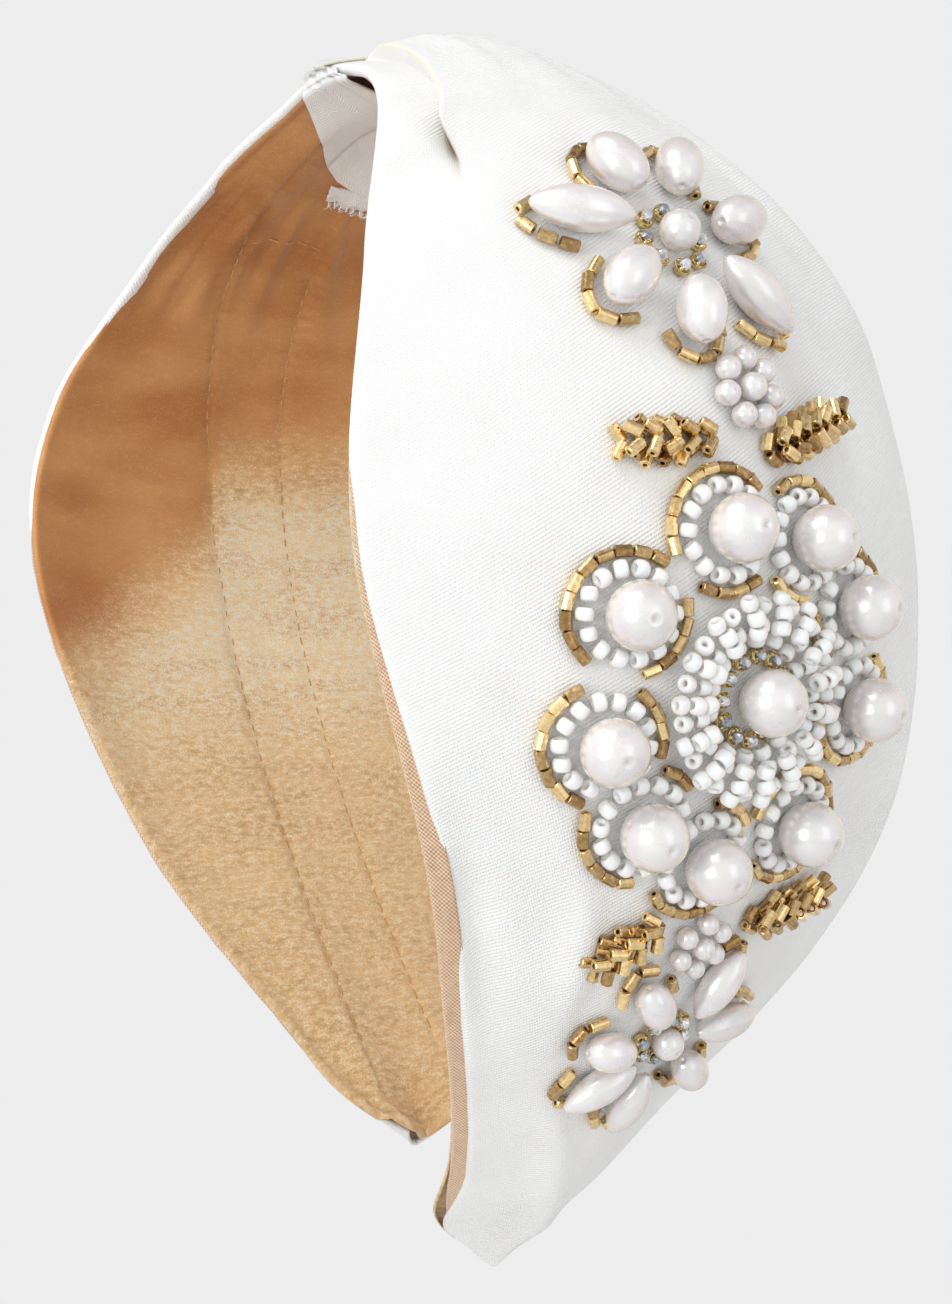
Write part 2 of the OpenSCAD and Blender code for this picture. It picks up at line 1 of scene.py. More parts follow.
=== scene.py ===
"""The looks of a turban-style headband: cloth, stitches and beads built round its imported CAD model.

A place on the band is given as in the CAD. t is 0 on the crown, 1 at the right arm's tip and -1 at the
left arm's tip. y runs across the band from the front edge (-) to the back edge (+), and depth runs
inwards from the outer face. u is y as a share of the half width, and s is the distance along the
middle of an arm. The band's own lengths are in millimetres, and points go into Blender in metres.
"""
import math

import bmesh
import bpy
import numpy as np
from mathutils import Matrix, Vector


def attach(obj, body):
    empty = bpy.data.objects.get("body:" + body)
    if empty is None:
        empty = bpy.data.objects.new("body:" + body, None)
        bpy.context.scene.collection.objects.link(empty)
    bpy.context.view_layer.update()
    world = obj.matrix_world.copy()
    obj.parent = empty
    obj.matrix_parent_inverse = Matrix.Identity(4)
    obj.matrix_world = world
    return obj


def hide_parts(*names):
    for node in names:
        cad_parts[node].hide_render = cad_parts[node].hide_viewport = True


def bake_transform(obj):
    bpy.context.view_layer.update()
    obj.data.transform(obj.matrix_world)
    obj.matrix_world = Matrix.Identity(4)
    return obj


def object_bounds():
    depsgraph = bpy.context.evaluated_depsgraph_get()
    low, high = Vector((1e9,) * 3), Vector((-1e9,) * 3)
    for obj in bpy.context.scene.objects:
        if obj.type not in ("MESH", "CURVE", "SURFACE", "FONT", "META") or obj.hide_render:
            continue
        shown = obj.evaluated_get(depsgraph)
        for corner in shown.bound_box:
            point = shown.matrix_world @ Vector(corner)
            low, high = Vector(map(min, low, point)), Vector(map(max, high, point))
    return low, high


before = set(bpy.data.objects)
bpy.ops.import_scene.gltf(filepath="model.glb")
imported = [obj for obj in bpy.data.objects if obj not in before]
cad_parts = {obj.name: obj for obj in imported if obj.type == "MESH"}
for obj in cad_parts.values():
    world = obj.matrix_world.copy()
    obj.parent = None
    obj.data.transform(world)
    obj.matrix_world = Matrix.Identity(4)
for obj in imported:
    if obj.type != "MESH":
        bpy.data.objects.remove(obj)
cad_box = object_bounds()
MM = 0.001


# ---------------------------------------------------------------- camera
CAMERA_AZIMUTH = 55.4
CAMERA_ELEVATION = -7.7
CAMERA_ROLL = -7.5
CAMERA_DISTANCE = 0.263
CAMERA_TARGET = Vector((0.0003, 0.0072, -0.0771))
FOCAL_LENGTH = 49.2
SENSOR_LONG_SIDE = 36.0


def camera_axes():
    """The camera's right, up and backward directions."""
    azimuth = math.radians(CAMERA_AZIMUTH)
    elevation = math.radians(CAMERA_ELEVATION)
    roll = math.radians(CAMERA_ROLL)
    back = Vector((math.sin(azimuth) * math.cos(elevation),
                   -math.cos(azimuth) * math.cos(elevation),
                   math.sin(elevation)))
    level = Vector((math.cos(azimuth), math.sin(azimuth), 0))
    upright = back.cross(level)
    right = level * math.cos(roll) + upright * math.sin(roll)
    up = upright * math.cos(roll) - level * math.sin(roll)
    return right, up, back


def make_camera():
    right, up, back = camera_axes()
    data = bpy.data.cameras.new("camera")
    data.sensor_width = SENSOR_LONG_SIDE
    data.lens = FOCAL_LENGTH
    data.clip_start = 0.01
    data.clip_end = 20
    camera = bpy.data.objects.new("camera", data)
    bpy.context.scene.collection.objects.link(camera)
    place = Matrix.Translation(CAMERA_TARGET + back * CAMERA_DISTANCE)
    camera.matrix_world = place @ Matrix((right, up, back)).transposed().to_4x4()
    bpy.context.scene.camera = camera


make_camera()


# ---------------------------------------------------------------- the band's shape, as in the CAD
COVER_T = 0.8
PAD_T = 2.4
FRAME_T = 1.4
LINING_T = 0.6
WRAP_T = 1.0
GAP = 0.2
WRAP_CLEAR = 0.6
PAD_TOP = COVER_T + GAP
FRAME_TOP = PAD_TOP + PAD_T + GAP
LINING_TOP = FRAME_TOP + FRAME_T + GAP
CROWN_Z = LINING_TOP + LINING_T + WRAP_CLEAR + WRAP_T
EDGE_DEPTH = COVER_T + GAP
TIP_LINING_DEPTH = 3.0
FRAME_END = 0.955
TIP_ROUND_START = 0.94
TIP_END = 0.997
DROOP_POWER = 1.7
CHANNEL_W_CROWN = 15.5
CHANNEL_W_TIP = 12.0

RIGHT_X = (0, 78, 103, -5)
RIGHT_Z = (0, 0, -110, -172)
LEFT_X = (0, 78, 72, 22)
LEFT_Z = (0, 0, -75, -156)
FRONT_HALF_W = (14, 22, 36, 42, 30, 10)
BACK_HALF_W = (9, 26, 38, 41, 35, 10)
FRONT_DROOP = (2, 4.5, 11, 14, 6, 4)
BACK_DROOP = (3, 7, 10, 10, 5.5, 5.5)


def unit(v):
    return v / np.maximum(np.linalg.norm(v, axis=-1, keepdims=True), 1e-12)


def ease(x, start, end):
    """0 before start, 1 after end, and a smooth rise between them."""
    f = np.clip((x - start) / (end - start), 0, 1)
    return f * f * (3 - 2 * f)


def hump(x, middle, width):
    return np.exp(-((x - middle) / width) ** 2)


def bezier(c, t):
    r = 1 - t
    return r ** 3 * c[0] + 3 * r ** 2 * t * c[1] + 3 * r * t * t * c[2] + t ** 3 * c[3]


def bezier_slope(c, t):
    r = 1 - t
    return 3 * r ** 2 * (c[1] - c[0]) + 6 * r * t * (c[2] - c[1]) + 3 * t * t * (c[3] - c[2])


def along(values, t):
    """A smooth curve through values at equal steps of t from 0 to 1."""
    values = np.asarray(values, float)
    last = len(values) - 1
    i = np.minimum(np.floor(t * last).astype(int), last - 1)
    f = t * last - i
    a, b, c, d = (values[np.clip(i + step, 0, last)] for step in (-1, 0, 1, 2))
    bend = a - 2.5 * b + 2 * c - d / 2
    twist = 1.5 * (b - c) + (d - a) / 2
    return b + f * (c - a) / 2 + f * f * bend + f ** 3 * twist


def tip_round(t):
    return np.where(t < TIP_ROUND_START, 1.0,
                    np.sqrt(np.maximum(0, 1 - ((t - TIP_ROUND_START) / (1 - TIP_ROUND_START)) ** 2)))


def half_w(t, y):
    q = np.abs(t)
    return np.where(y < 0, along(FRONT_HALF_W, q), along(BACK_HALF_W, q)) * tip_round(q)


def droop(t, y):
    q = np.abs(t)
    share = np.abs(y) / np.maximum(half_w(t, y), 0.01)
    return np.where(y < 0, along(FRONT_DROOP, q), along(BACK_DROOP, q)) * share ** DROOP_POWER


def band_point(t, y, depth):
    q = np.abs(t)
    left = t < 0
    slope_x = np.where(left, bezier_slope(LEFT_X, q), bezier_slope(RIGHT_X, q))
    slope_z = np.where(left, bezier_slope(LEFT_Z, q), bezier_slope(RIGHT_Z, q))
    length = np.hypot(slope_x, slope_z)
    out = -droop(t, y) - depth
    x = np.where(left, bezier(LEFT_X, q), bezier(RIGHT_X, q)) - slope_z / length * out
    z = CROWN_Z + np.where(left, bezier(LEFT_Z, q), bezier(RIGHT_Z, q)) + slope_x / length * out
    return np.stack([np.where(left, -x, x), y + 0 * q, z], axis=-1)


def band_normal(t, y):
    """The direction straight out of the band."""
    step_t = 0.002
    step_y = 0.4
    inside = np.clip(t, -TIP_ROUND_START, TIP_ROUND_START)
    edge = half_w(inside, y)
    y = np.clip(y, -edge + step_y, edge - step_y)
    over = band_point(inside, y + step_y, 0) - band_point(inside, y - step_y, 0)
    down = band_point(inside + step_t, y, 0) - band_point(inside - step_t, y, 0)
    return unit(np.cross(down, over))


def channel_half(t):
    return (CHANNEL_W_CROWN + (CHANNEL_W_TIP - CHANNEL_W_CROWN) * np.abs(t)) / 2


def lining_depth(t, y):
    room = np.maximum(half_w(t, y) - channel_half(t), 1)
    rise = 1 - ease((np.abs(y) - channel_half(t)) / room, 0, 1)
    middle = LINING_TOP - (LINING_TOP - TIP_LINING_DEPTH) * ease(np.abs(t), FRAME_END, 1)
    return EDGE_DEPTH + (middle - EDGE_DEPTH) * rise


HEM_W_START = 0.3
HEM_W_FULL = 1.9
HEM_START_T = 0.58
HEM_FULL_T = 0.8
HEM_END_T = 0.93
HEM_STEP_BACK = 0.05


def cover_inset(t):
    """How far the cover's front edge lies inside the outline: the lining's hem shows beside it."""
    q = np.abs(t)
    width = HEM_W_START + (HEM_W_FULL - HEM_W_START) * ease(q, HEM_START_T, HEM_FULL_T) + 1.5 * GAP
    return width * ease(q, HEM_START_T - HEM_STEP_BACK, HEM_START_T) * (1 - ease(q, HEM_END_T, TIP_END))


ARC_T = np.linspace(0, 1, 801)


def arc_lengths(side):
    middle = band_point(side * ARC_T, 0 * ARC_T, 0)
    return np.concatenate([[0], np.cumsum(np.linalg.norm(np.diff(middle, axis=0), axis=1))])


ARC = {1: arc_lengths(1), -1: arc_lengths(-1)}


def s_of(t, side):
    return np.sign(t) * np.interp(np.abs(t), ARC_T, ARC[side])


def t_of(s, side):
    return np.interp(s, ARC[side], ARC_T)


# ---------------------------------------------------------------- noise and meshes
NOISE_CELLS = 64


def noise(x, y, seed):
    """Smooth noise from -1 to 1, whose features are about 1 across."""
    table = np.random.default_rng(seed).uniform(-1, 1, (NOISE_CELLS, NOISE_CELLS))
    i = np.floor(x).astype(int)
    j = np.floor(y).astype(int)
    f = ease(x - i, 0, 1)
    g = ease(y - j, 0, 1)
    i0, i1 = i % NOISE_CELLS, (i + 1) % NOISE_CELLS
    j0, j1 = j % NOISE_CELLS, (j + 1) % NOISE_CELLS
    near = table[i0, j0] * (1 - f) + table[i1, j0] * f
    far = table[i0, j1] * (1 - f) + table[i1, j1] * f
    return near * (1 - g) + far * g


def grid_faces(rows, cols, first=0):
    i, j = np.meshgrid(np.arange(rows - 1), np.arange(cols - 1), indexing="ij")
    a = (first + i * cols + j).ravel()
    return np.stack([a, a + cols, a + cols + 1, a + 1], axis=1)


def ring_faces(rows, around, first=0, closed=False, flip=False):
    """Faces between rows of points that each run round a ring. closed joins the last row to the first."""
    i, k = np.meshgrid(np.arange(rows if closed else rows - 1), np.arange(around), indexing="ij")
    near = i * around
    far = (i + 1) % rows * around
    after = (k + 1) % around
    faces = first + np.stack([near + k, far + k, far + after, near + after], axis=-1).reshape(-1, 4)
    return faces[:, [0, 3, 2, 1]] if flip else faces


def add_object(name, points_mm, faces, smooth=True, **attributes):
    """A mesh object from points in millimetres, with its attributes on the points."""
    points = np.asarray(points_mm).reshape(-1, 3) * MM
    mesh = bpy.data.meshes.new(name)
    mesh.from_pydata(points.tolist(), [], [tuple(int(i) for i in f) for f in faces])
    for key, values in attributes.items():
        values = np.asarray(values, np.float32).ravel()
        vectors = values.size == points.size
        layer = mesh.attributes.new(key, "FLOAT_VECTOR" if vectors else "FLOAT", "POINT")
        layer.data.foreach_set("vector" if vectors else "value", values)
    mesh.polygons.foreach_set("use_smooth", np.full(len(mesh.polygons), smooth))
    mesh.validate()
    mesh.update()
    piece = bpy.data.objects.new(name, mesh)
    bpy.context.scene.collection.objects.link(piece)
    return piece


def face_outwards(piece, outward, place_mm=None):
    """Turns a sheet's faces to its outer side. The face nearest to the place tells which way they point."""
    bm = bmesh.new()
    bm.from_mesh(piece.data)
    bmesh.ops.recalc_face_normals(bm, faces=bm.faces)
    bm.faces.ensure_lookup_table()
    face = bm.faces[0]
    if place_mm is not None:
        place = Vector(place_mm) * MM
        face = min(bm.faces, key=lambda f: (f.calc_center_median() - place).length)
    if face.normal.dot(Vector(outward)) < 0:
        bmesh.ops.reverse_faces(bm, faces=bm.faces)
    bm.to_mesh(piece.data)
    bm.free()


def thicken(piece, thickness_mm):
    """Gives a sheet its thickness, on the side away from its faces."""
    solid = piece.modifiers.new("thickness", "SOLIDIFY")
    solid.thickness = thickness_mm * MM
    solid.offset = -1


def finish_piece(piece, body, material, node):
    piece.data.materials.append(material)
    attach(piece, body)
    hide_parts(node)


# ---------------------------------------------------------------- materials
class Nodes:
    """Short ways to add shader nodes to a tree."""

    def __init__(self, tree):
        self.tree = tree

    def node(self, kind, inputs=None, **settings):
        made = self.tree.nodes.new(kind)
        for key, value in settings.items():
            setattr(made, key, value)
        for key, value in (inputs or {}).items():
            self.link(value, made.inputs[key])
        return made

    def link(self, value, socket):
        if isinstance(value, bpy.types.NodeSocket):
            self.tree.links.new(value, socket)
        else:
            socket.default_value = value

    def attribute(self, name):
        found = self.node("ShaderNodeAttribute", attribute_name=name)
        return found.outputs["Fac"] if name != "weave" else found.outputs["Vector"]

    def place(self):
        return self.node("ShaderNodeNewGeometry").outputs["Position"]

    def math(self, operation, a, b=0.0, clamp=False):
        return self.node("ShaderNodeMath", {0: a, 1: b}, operation=operation, use_clamp=clamp).outputs[0]

    def plus(self, a, b, share=1.0, clamp=False):
        """a + share * b"""
        return self.math("ADD", a, b if share == 1 else self.math("MULTIPLY", b, share), clamp)

    def below_zero(self, value):
        """How far a value lies below zero, and 0 above it."""
        return self.math("MAXIMUM", self.math("MULTIPLY", value, -1.0), 0.0)

    def mix(self, share, a, b):
        return self.node("ShaderNodeMix", {"Factor": share, 6: a, 7: b}, data_type="RGBA").outputs[2]

    def noise(self, vector, scale, detail=2.0, roughness=0.5):
        inputs = {"Vector": vector, "Scale": scale, "Detail": detail, "Roughness": roughness}
        return self.node("ShaderNodeTexNoise", inputs).outputs["Fac"]

    def spread(self, value, low, high, out_low=0.0, out_high=1.0):
        """Maps the stretch low..high of a value onto out_low..out_high."""
        inputs = {"Value": value, "From Min": low, "From Max": high, "To Min": out_low, "To Max": out_high}
        return self.node("ShaderNodeMapRange", inputs).outputs["Result"]

    def scaled(self, vector, by):
        return self.node("ShaderNodeVectorMath", {0: vector, 1: by}, operation="MULTIPLY").outputs[0]

    def stripes(self, vector, direction, period):
        """A sine from -1 to 1 across threads that repeat every period along direction."""
        turn = 2 * math.pi / period
        inputs = {0: vector, 1: (direction[0] * turn, direction[1] * turn, 0)}
        dot = self.node("ShaderNodeVectorMath", inputs, operation="DOT_PRODUCT")
        return self.math("SINE", dot.outputs["Value"])


class Shader(Nodes):
    """A material with a Principled surface."""

    def __init__(self, name, **constants):
        self.material = bpy.data.materials.new(name)
        self.material.use_nodes = True
        super().__init__(self.material.node_tree)
        self.surface = self.tree.nodes["Principled BSDF"]
        for key, value in constants.items():
            self.surface.inputs[key.replace("_", " ")].default_value = value

    def bump(self, height, distance_mm, strength):
        inputs = {"Height": height, "Distance": distance_mm * MM, "Strength": strength}
        self.link(self.node("ShaderNodeBump", inputs).outputs["Normal"], self.surface.inputs["Normal"])

    def colour(self, value):
        self.link(value, self.surface.inputs["Base Color"])

    def roughness(self, value):
        self.link(value, self.surface.inputs["Roughness"])

    def worn(self, texture, low, high, light, shade, smooth, rough):
        """Colour and roughness that follow one texture."""
        self.colour(self.mix(self.spread(texture, low, high), light, shade))
        self.roughness(self.spread(texture, 0.3, 0.7, smooth, rough))


WHITE_SATIN = (0.93, 0.925, 0.915, 1)
GREY_SATIN = (0.88, 0.867, 0.855, 1)
CREAM = (0.86, 0.80, 0.58, 1)
# Painted shade for the deepest part of a fold.
FOLD_PAINTED_SHADE = (0.28, 0.22, 0.13, 1)


def satin_material():
    """White satin with a fine twill. tone 1 is the yellowed cloth at the wrap's edge, and -1 painted shade
    deep in a fold.
    """
    m = Shader("white_satin", Sheen_Weight=0.25, Sheen_Roughness=0.4, Specular_IOR_Level=0.5,
               Subsurface_Weight=0.05, Subsurface_Scale=0.001)
    weave = m.attribute("weave")
    tone = m.attribute("tone")
    patches = m.spread(m.noise(weave, 0.09, 3), 0.35, 0.7)
    clean = m.mix(patches, WHITE_SATIN, GREY_SATIN)
    yellowed = m.mix(m.math("MAXIMUM", tone, 0.0), clean, CREAM)
    # Below zero, tone paints the shade of a deep fold into the satin's colour.
    m.colour(m.mix(m.below_zero(tone), yellowed, FOLD_PAINTED_SHADE))
    m.roughness(m.spread(m.noise(weave, 0.6, 2), 0.3, 0.7, 0.36, 0.5))
    twill = m.stripes(weave, (0.86, 0.5), 0.46)
    threads = m.stripes(weave, (-0.35, 0.93), 0.31)
    cloth = m.plus(m.math("MULTIPLY", twill, 0.6), threads, 0.3)
    slubs = m.noise(m.scaled(weave, (0.5, 3.0, 1)), 1.1, 3)
    m.bump(m.plus(cloth, slubs, 1.6), 0.06, 0.9)
    return m.material


COPPER = (0.66, 0.33, 0.115, 1)
COPPER_DARK = (0.49, 0.185, 0.047, 1)
# Painted shade for the lining's folds and for its part near the knot.
LINING_PAINTED_SHADE = (0.42, 0.16, 0.045, 1)
GOLD_CLOTH = (1.0, 0.69, 0.35, 1)
# Painted sheen on the bright cloth.
GOLD_PAINTED_SHEEN = (1.0, 0.75, 0.40, 1)
# Painted glints on the bright cloth.
GOLD_PAINTED_GLINT = (1.0, 0.94, 0.78, 1)


def lining_material():
    """Metallic gold cloth. tone 0 is its coppery smooth side, and 1 its bright crinkled side. The split is
    partly two cloth tones and partly painted light: the coppery side is painted as in shade and the bright
    side as lit.
    """
    m = Shader("gold_lame", Metallic=0.35, Sheen_Weight=0.3, Sheen_Roughness=0.35)
    weave = m.attribute("weave")
    tone = m.attribute("tone")
    bright_share = m.math("MAXIMUM", tone, 0.0)
    # gloss is tone above 1: a band of painted sheen.
    gloss = m.spread(tone, 1.0, 1.5, 0.0, 1.0)
    fine = m.noise(m.scaled(weave, (1.0, 1.7, 1)), 2.6, 5, 0.75)
    grain = m.noise(m.scaled(weave, (1.0, 0.5, 1)), 1.1, 5, 0.7)
    soft = m.noise(m.scaled(weave, (1.0, 0.5, 1)), 0.07, 2, 0.5)
    copper = m.mix(m.spread(soft, 0.35, 0.65), COPPER_DARK, COPPER)
    broad = m.noise(m.scaled(weave, (1.0, 0.22, 1)), 0.2, 4, 0.6)
    base = m.mix(m.spread(broad, 0.38, 0.62), (0.66, 0.40, 0.17, 1), (0.84, 0.55, 0.26, 1))
    bright = m.mix(m.spread(grain, 0.34, 0.62), base, GOLD_CLOTH)
    # Painted sheen: the bright cloth is lightened where gloss is high.
    painted_sheen_share = m.math("MULTIPLY", gloss, m.spread(broad, 0.4, 0.58, 0.25, 0.9), clamp=True)
    bright = m.mix(painted_sheen_share, bright, GOLD_PAINTED_SHEEN)
    speckle = m.spread(fine, 0.3, 0.7, -0.08, 0.14)
    # From the coppery colour, partly painted shade, to the bright gold, partly painted light.
    cloth = m.mix(m.plus(bright_share, speckle, clamp=True), copper, bright)
    # Below zero, tone paints shade into the lining's colour.
    cloth_with_painted_shade = m.mix(m.below_zero(tone), cloth, LINING_PAINTED_SHADE)
    # Painted glints: noise peaks on the bright cloth are coloured as points of reflected light.
    peaks = m.plus(m.plus(fine, grain, 0.5), gloss, 0.07)
    spark_height = m.spread(peaks, 0.78, 0.87)
    spark = m.math("MULTIPLY", spark_height, m.spread(bright_share, 0.0, 1.0, 0.1, 1.0), clamp=True)
    m.colour(m.mix(spark, cloth_with_painted_shade, GOLD_PAINTED_GLINT))
    m.roughness(m.spread(fine, 0.3, 0.75, 0.46, 0.24))
    threads = m.math("MULTIPLY", m.stripes(weave, (1, 0), 0.34), m.stripes(weave, (0, 1), 0.3))
    crinkle = m.math("MULTIPLY", m.plus(grain, fine, 0.5), m.spread(bright_share, 0.0, 1.0, 0.7, 5.0))
    m.bump(m.plus(crinkle, threads, 0.2), 0.14, 0.9)
    return m.material


def hem_material():
    """The back of the gold cloth: a dull tan twill."""
    m = Shader("hem_twill", Metallic=0.15, Sheen_Weight=0.3)
    weave = m.attribute("weave")
    twill = m.stripes(weave, (0.7, 0.71), 0.42)
    cross = m.stripes(weave, (0.7, -0.71), 0.36)
    pattern = m.plus(m.math("MULTIPLY", twill, 0.5), cross, 0.35)
    patches = m.noise(weave, 0.7, 3)
    dotted = m.spread(m.plus(pattern, patches), -0.2, 1.1)
    m.colour(m.mix(dotted, (0.44, 0.24, 0.13, 1), (0.84, 0.64, 0.45, 1)))
    m.roughness(m.spread(patches, 0.3, 0.7, 0.5, 0.65))
    m.bump(pattern, 0.05, 0.8)
    return m.material


def pearl_material(name, light, shade, roughness, metallic):
    """Pearl lacquer: a white body, a soft coat and faint mottling. tone shifts each bead a little."""
    m = Shader(name, Coat_Weight=0.5, Coat_Roughness=0.16, Subsurface_Weight=0.12, Subsurface_Scale=0.0015,
               Thin_Film_Thickness=420.0, Thin_Film_IOR=1.2, Specular_IOR_Level=0.7, Metallic=metallic)
    place = m.place()
    mottle = m.noise(place, 420, 3)
    share = m.plus(m.spread(mottle, 0.3, 0.7, -0.1, 0.35), m.attribute("tone"), 0.5, clamp=True)
    m.colour(m.mix(share, light, shade))
    m.roughness(m.spread(mottle, 0.3, 0.7, roughness, roughness + 0.1))
    m.bump(m.noise(place, 2600, 2), 0.004, 0.5)
    return m.material


def gold_bead_material():
    """Gilt glass tubes: each bead has its own shade between bright gold and brown."""
    m = Shader("gilt_tubes", Metallic=0.95, Coat_Weight=0.5, Coat_Roughness=0.12)
    wear = m.noise(m.place(), 1900, 4, 0.6)
    tone = m.plus(m.attribute("tone"), m.spread(wear, 0.3, 0.75, -0.25, 0.3), clamp=True)
    m.colour(m.mix(tone, (0.34, 0.19, 0.06, 1), (1.0, 0.76, 0.38, 1)))
    m.roughness(m.spread(wear, 0.3, 0.7, 0.14, 0.3))
    m.bump(wear, 0.02, 0.5)
    return m.material


def cup_material():
    m = Shader("gilt_cups", Metallic=1.0)
    wear = m.noise(m.place(), 2300, 3)
    m.worn(wear, 0.35, 0.7, (0.86, 0.70, 0.36, 1), (0.55, 0.40, 0.16, 1), 0.15, 0.32)
    return m.material


def crystal_material():
    """Foiled crystal: the foil behind the stone mirrors the room through every facet."""
    m = Shader("foiled_crystal", Metallic=0.85, Coat_Weight=1.0, Coat_Roughness=0.02)
    streaks = m.noise(m.place(), 1500, 1)
    shade = m.spread(m.plus(streaks, m.attribute("tone"), 0.4), 0.45, 0.85)
    m.colour(m.mix(shade, (0.95, 0.96, 0.97, 1), (0.36, 0.39, 0.42, 1)))
    m.roughness(m.spread(streaks, 0.3, 0.7, 0.03, 0.12))
    return m.material


def thread_material(name, light, shade):
    m = Shader(name, Sheen_Weight=0.4)
    twist = m.noise(m.place(), 5200, 2)
    m.worn(twist, 0.35, 0.65, light, shade, 0.5, 0.7)
    m.bump(twist, 0.03, 0.8)
    return m.material


def foam_material():
    m = Shader("foam", Subsurface_Weight=0.2, Subsurface_Scale=0.002)
    cells = m.node("ShaderNodeTexVoronoi", {"Vector": m.place(), "Scale": 1400.0}).outputs["Distance"]
    m.colour(m.mix(m.spread(cells, 0.0, 0.6), (0.62, 0.58, 0.46, 1), (0.88, 0.85, 0.74, 1)))
    m.roughness(m.spread(cells, 0, 0.6, 0.9, 0.75))
    m.bump(cells, 0.2, 0.7)
    return m.material


def steel_material():
    m = Shader("spring_steel", Metallic=1.0)
    brushed = m.noise(m.scaled(m.place(), (300, 4000, 300)), 1.0, 3)
    m.worn(brushed, 0.3, 0.7, (0.50, 0.51, 0.53, 1), (0.66, 0.67, 0.69, 1), 0.24, 0.42)
    m.bump(brushed, 0.01, 0.5)
    return m.material


SATIN = satin_material()
LAME = lining_material()
TWILL = hem_material()
BIG_PEARL = pearl_material("pearl", (0.89, 0.862, 0.85, 1), (0.76, 0.725, 0.71, 1), 0.2, 0.35)
SEED_WHITE = pearl_material("white_seed", (0.98, 0.98, 0.955, 1), (0.91, 0.91, 0.885, 1), 0.16, 0.05)
GILT = gold_bead_material()
CUP_GILT = cup_material()
CRYSTAL = crystal_material()
WHITE_THREAD = thread_material("white_thread", (0.92, 0.91, 0.89, 1), (0.72, 0.71, 0.69, 1))
GOLD_THREAD = thread_material("gold_thread", (0.66, 0.40, 0.15, 1), (0.44, 0.22, 0.07, 1))
FOAM = foam_material()
STEEL = steel_material()


# ---------------------------------------------------------------- the cloth's folds
PLEAT_U = -0.70
# The embroidered patches as (s, y, radius), and the rim over which the cloth rises again beside them.
MOTIF_SPOTS = ((86, -2, 17), (105, 3, 7), (112, 1, 12), (141, 2.8, 28.5), (171, 4, 12), (187, 2, 15))
MOTIF_FADE = 5


def off_motif(s, y):
    """0 under the embroidery, 1 away from it: the beads hold the cloth flat."""
    clear = np.ones_like(s)
    for spot_s, spot_y, radius in MOTIF_SPOTS:
        clear = clear * ease(np.hypot(s - spot_s, y - spot_y), radius - 2, radius + MOTIF_FADE)
    return clear


def line_distance(s, y, stops):
    """How far y is behind a line through stops of (s, y)."""
    line = np.array(stops, float)
    return y - np.interp(s, line[:, 0], line[:, 1])


def gathers(s, u, height):
    """Soft ridges that fan out of the knot and fade along the arm."""
    fade = height * ease(s, 12, 22) * (1 - ease(s, 26, 72))
    wave = 0.55 * np.cos(11 * u + 0.9) + 0.35 * np.cos(19 * u + 2.1) + 0.25 * np.cos(29 * u + 0.3)
    return fade * wave


def right_cover_folds(s, y, u):
    """(height, shift towards the front edge) of the beaded arm's cover, in mm."""
    d = (u - PLEAT_U) * half_w(t_of(s, 1), y)
    reach = ease(s, 17, 32) * (1 - ease(s, 64, 75))
    behind = 0.5 * (1 + np.tanh(d / 0.3))
    pocket = 1 + 0.5 * hump(s, 65, 6)
    lip = behind * 1.8 * np.exp(-np.maximum(d, 0) / 7)
    valley = (1 - behind) * 1.0 * np.exp(np.minimum(d, 0) / 2.6)
    height = reach * pocket * (lip - valley)
    shift = reach * pocket * behind * 2.3 * np.exp(-np.maximum(d, 0) / 2.8)
    puff = ease(s, 17, 31) * (1 - ease(s, 36, 78)) * ease(u, -0.7, -0.35) * (1 - 0.5 * ease(u, 0.5, 1))
    height = height + 1.4 * puff + gathers(s, u, 0.35) * ease(u, -0.6, -0.3)
    crease_line = ((150, -16), (163, -15), (174, -13.8), (186, -11.3), (201, -7.5), (227, 1.8))
    crease = line_distance(s, y, crease_line)
    held = ease(s, 150, 166) * (1 - ease(s, 226, 236))
    height = height + held * (1.1 * hump(crease, 0, 2.4) - 0.6 * hump(crease, -8, 6))
    dent = line_distance(s, y, ((150, -32), (161, -29.7), (177, -24.9), (187, -21.6), (200, -18)))
    height = height - 1.4 * hump(s, 172, 14) * hump(dent, 0, 2.6)
    fold = line_distance(s, y, ((48, 13), (61, 18.4), (79, 30), (92, 36)))
    height = height + hump(s, 70, 14) * (1.3 * hump(fold, 3, 3.2) - 0.7 * hump(fold, -3, 2.6))
    wander = 0.8 * noise(s / 26, y / 22, 3) + 0.22 * noise(s / 10, y / 9, 4)
    return (height + wander) * off_motif(s, y), shift * off_motif(s, y)


def left_cover_folds(s, y, u):
    wander = 0.4 * noise(s / 25, y / 21, 5) + 0.12 * noise(s / 9, y / 8, 6)
    return gathers(s, u, 0.9) + wander, 0 * s


# Lines of (s, y) along the lining's folds, which are sunk and painted in shade.
LINING_DARK_FOLDS = (((15, -12), (27, -6.5), (36, -10.5), (46, -9)), ((20, -13), (30, -15), (44, -22)))


def fold_shade(s, y):
    """How deep a place lies in the folds near the knot, from 0 to 1. It sinks the lining and paints shade
    into its colour.
    """
    reach = ease(s, 14, 22) * (1 - ease(s, 36, 62))
    return reach * sum(hump(line_distance(s, y, stops), 0, 2.2) for stops in LINING_DARK_FOLDS)


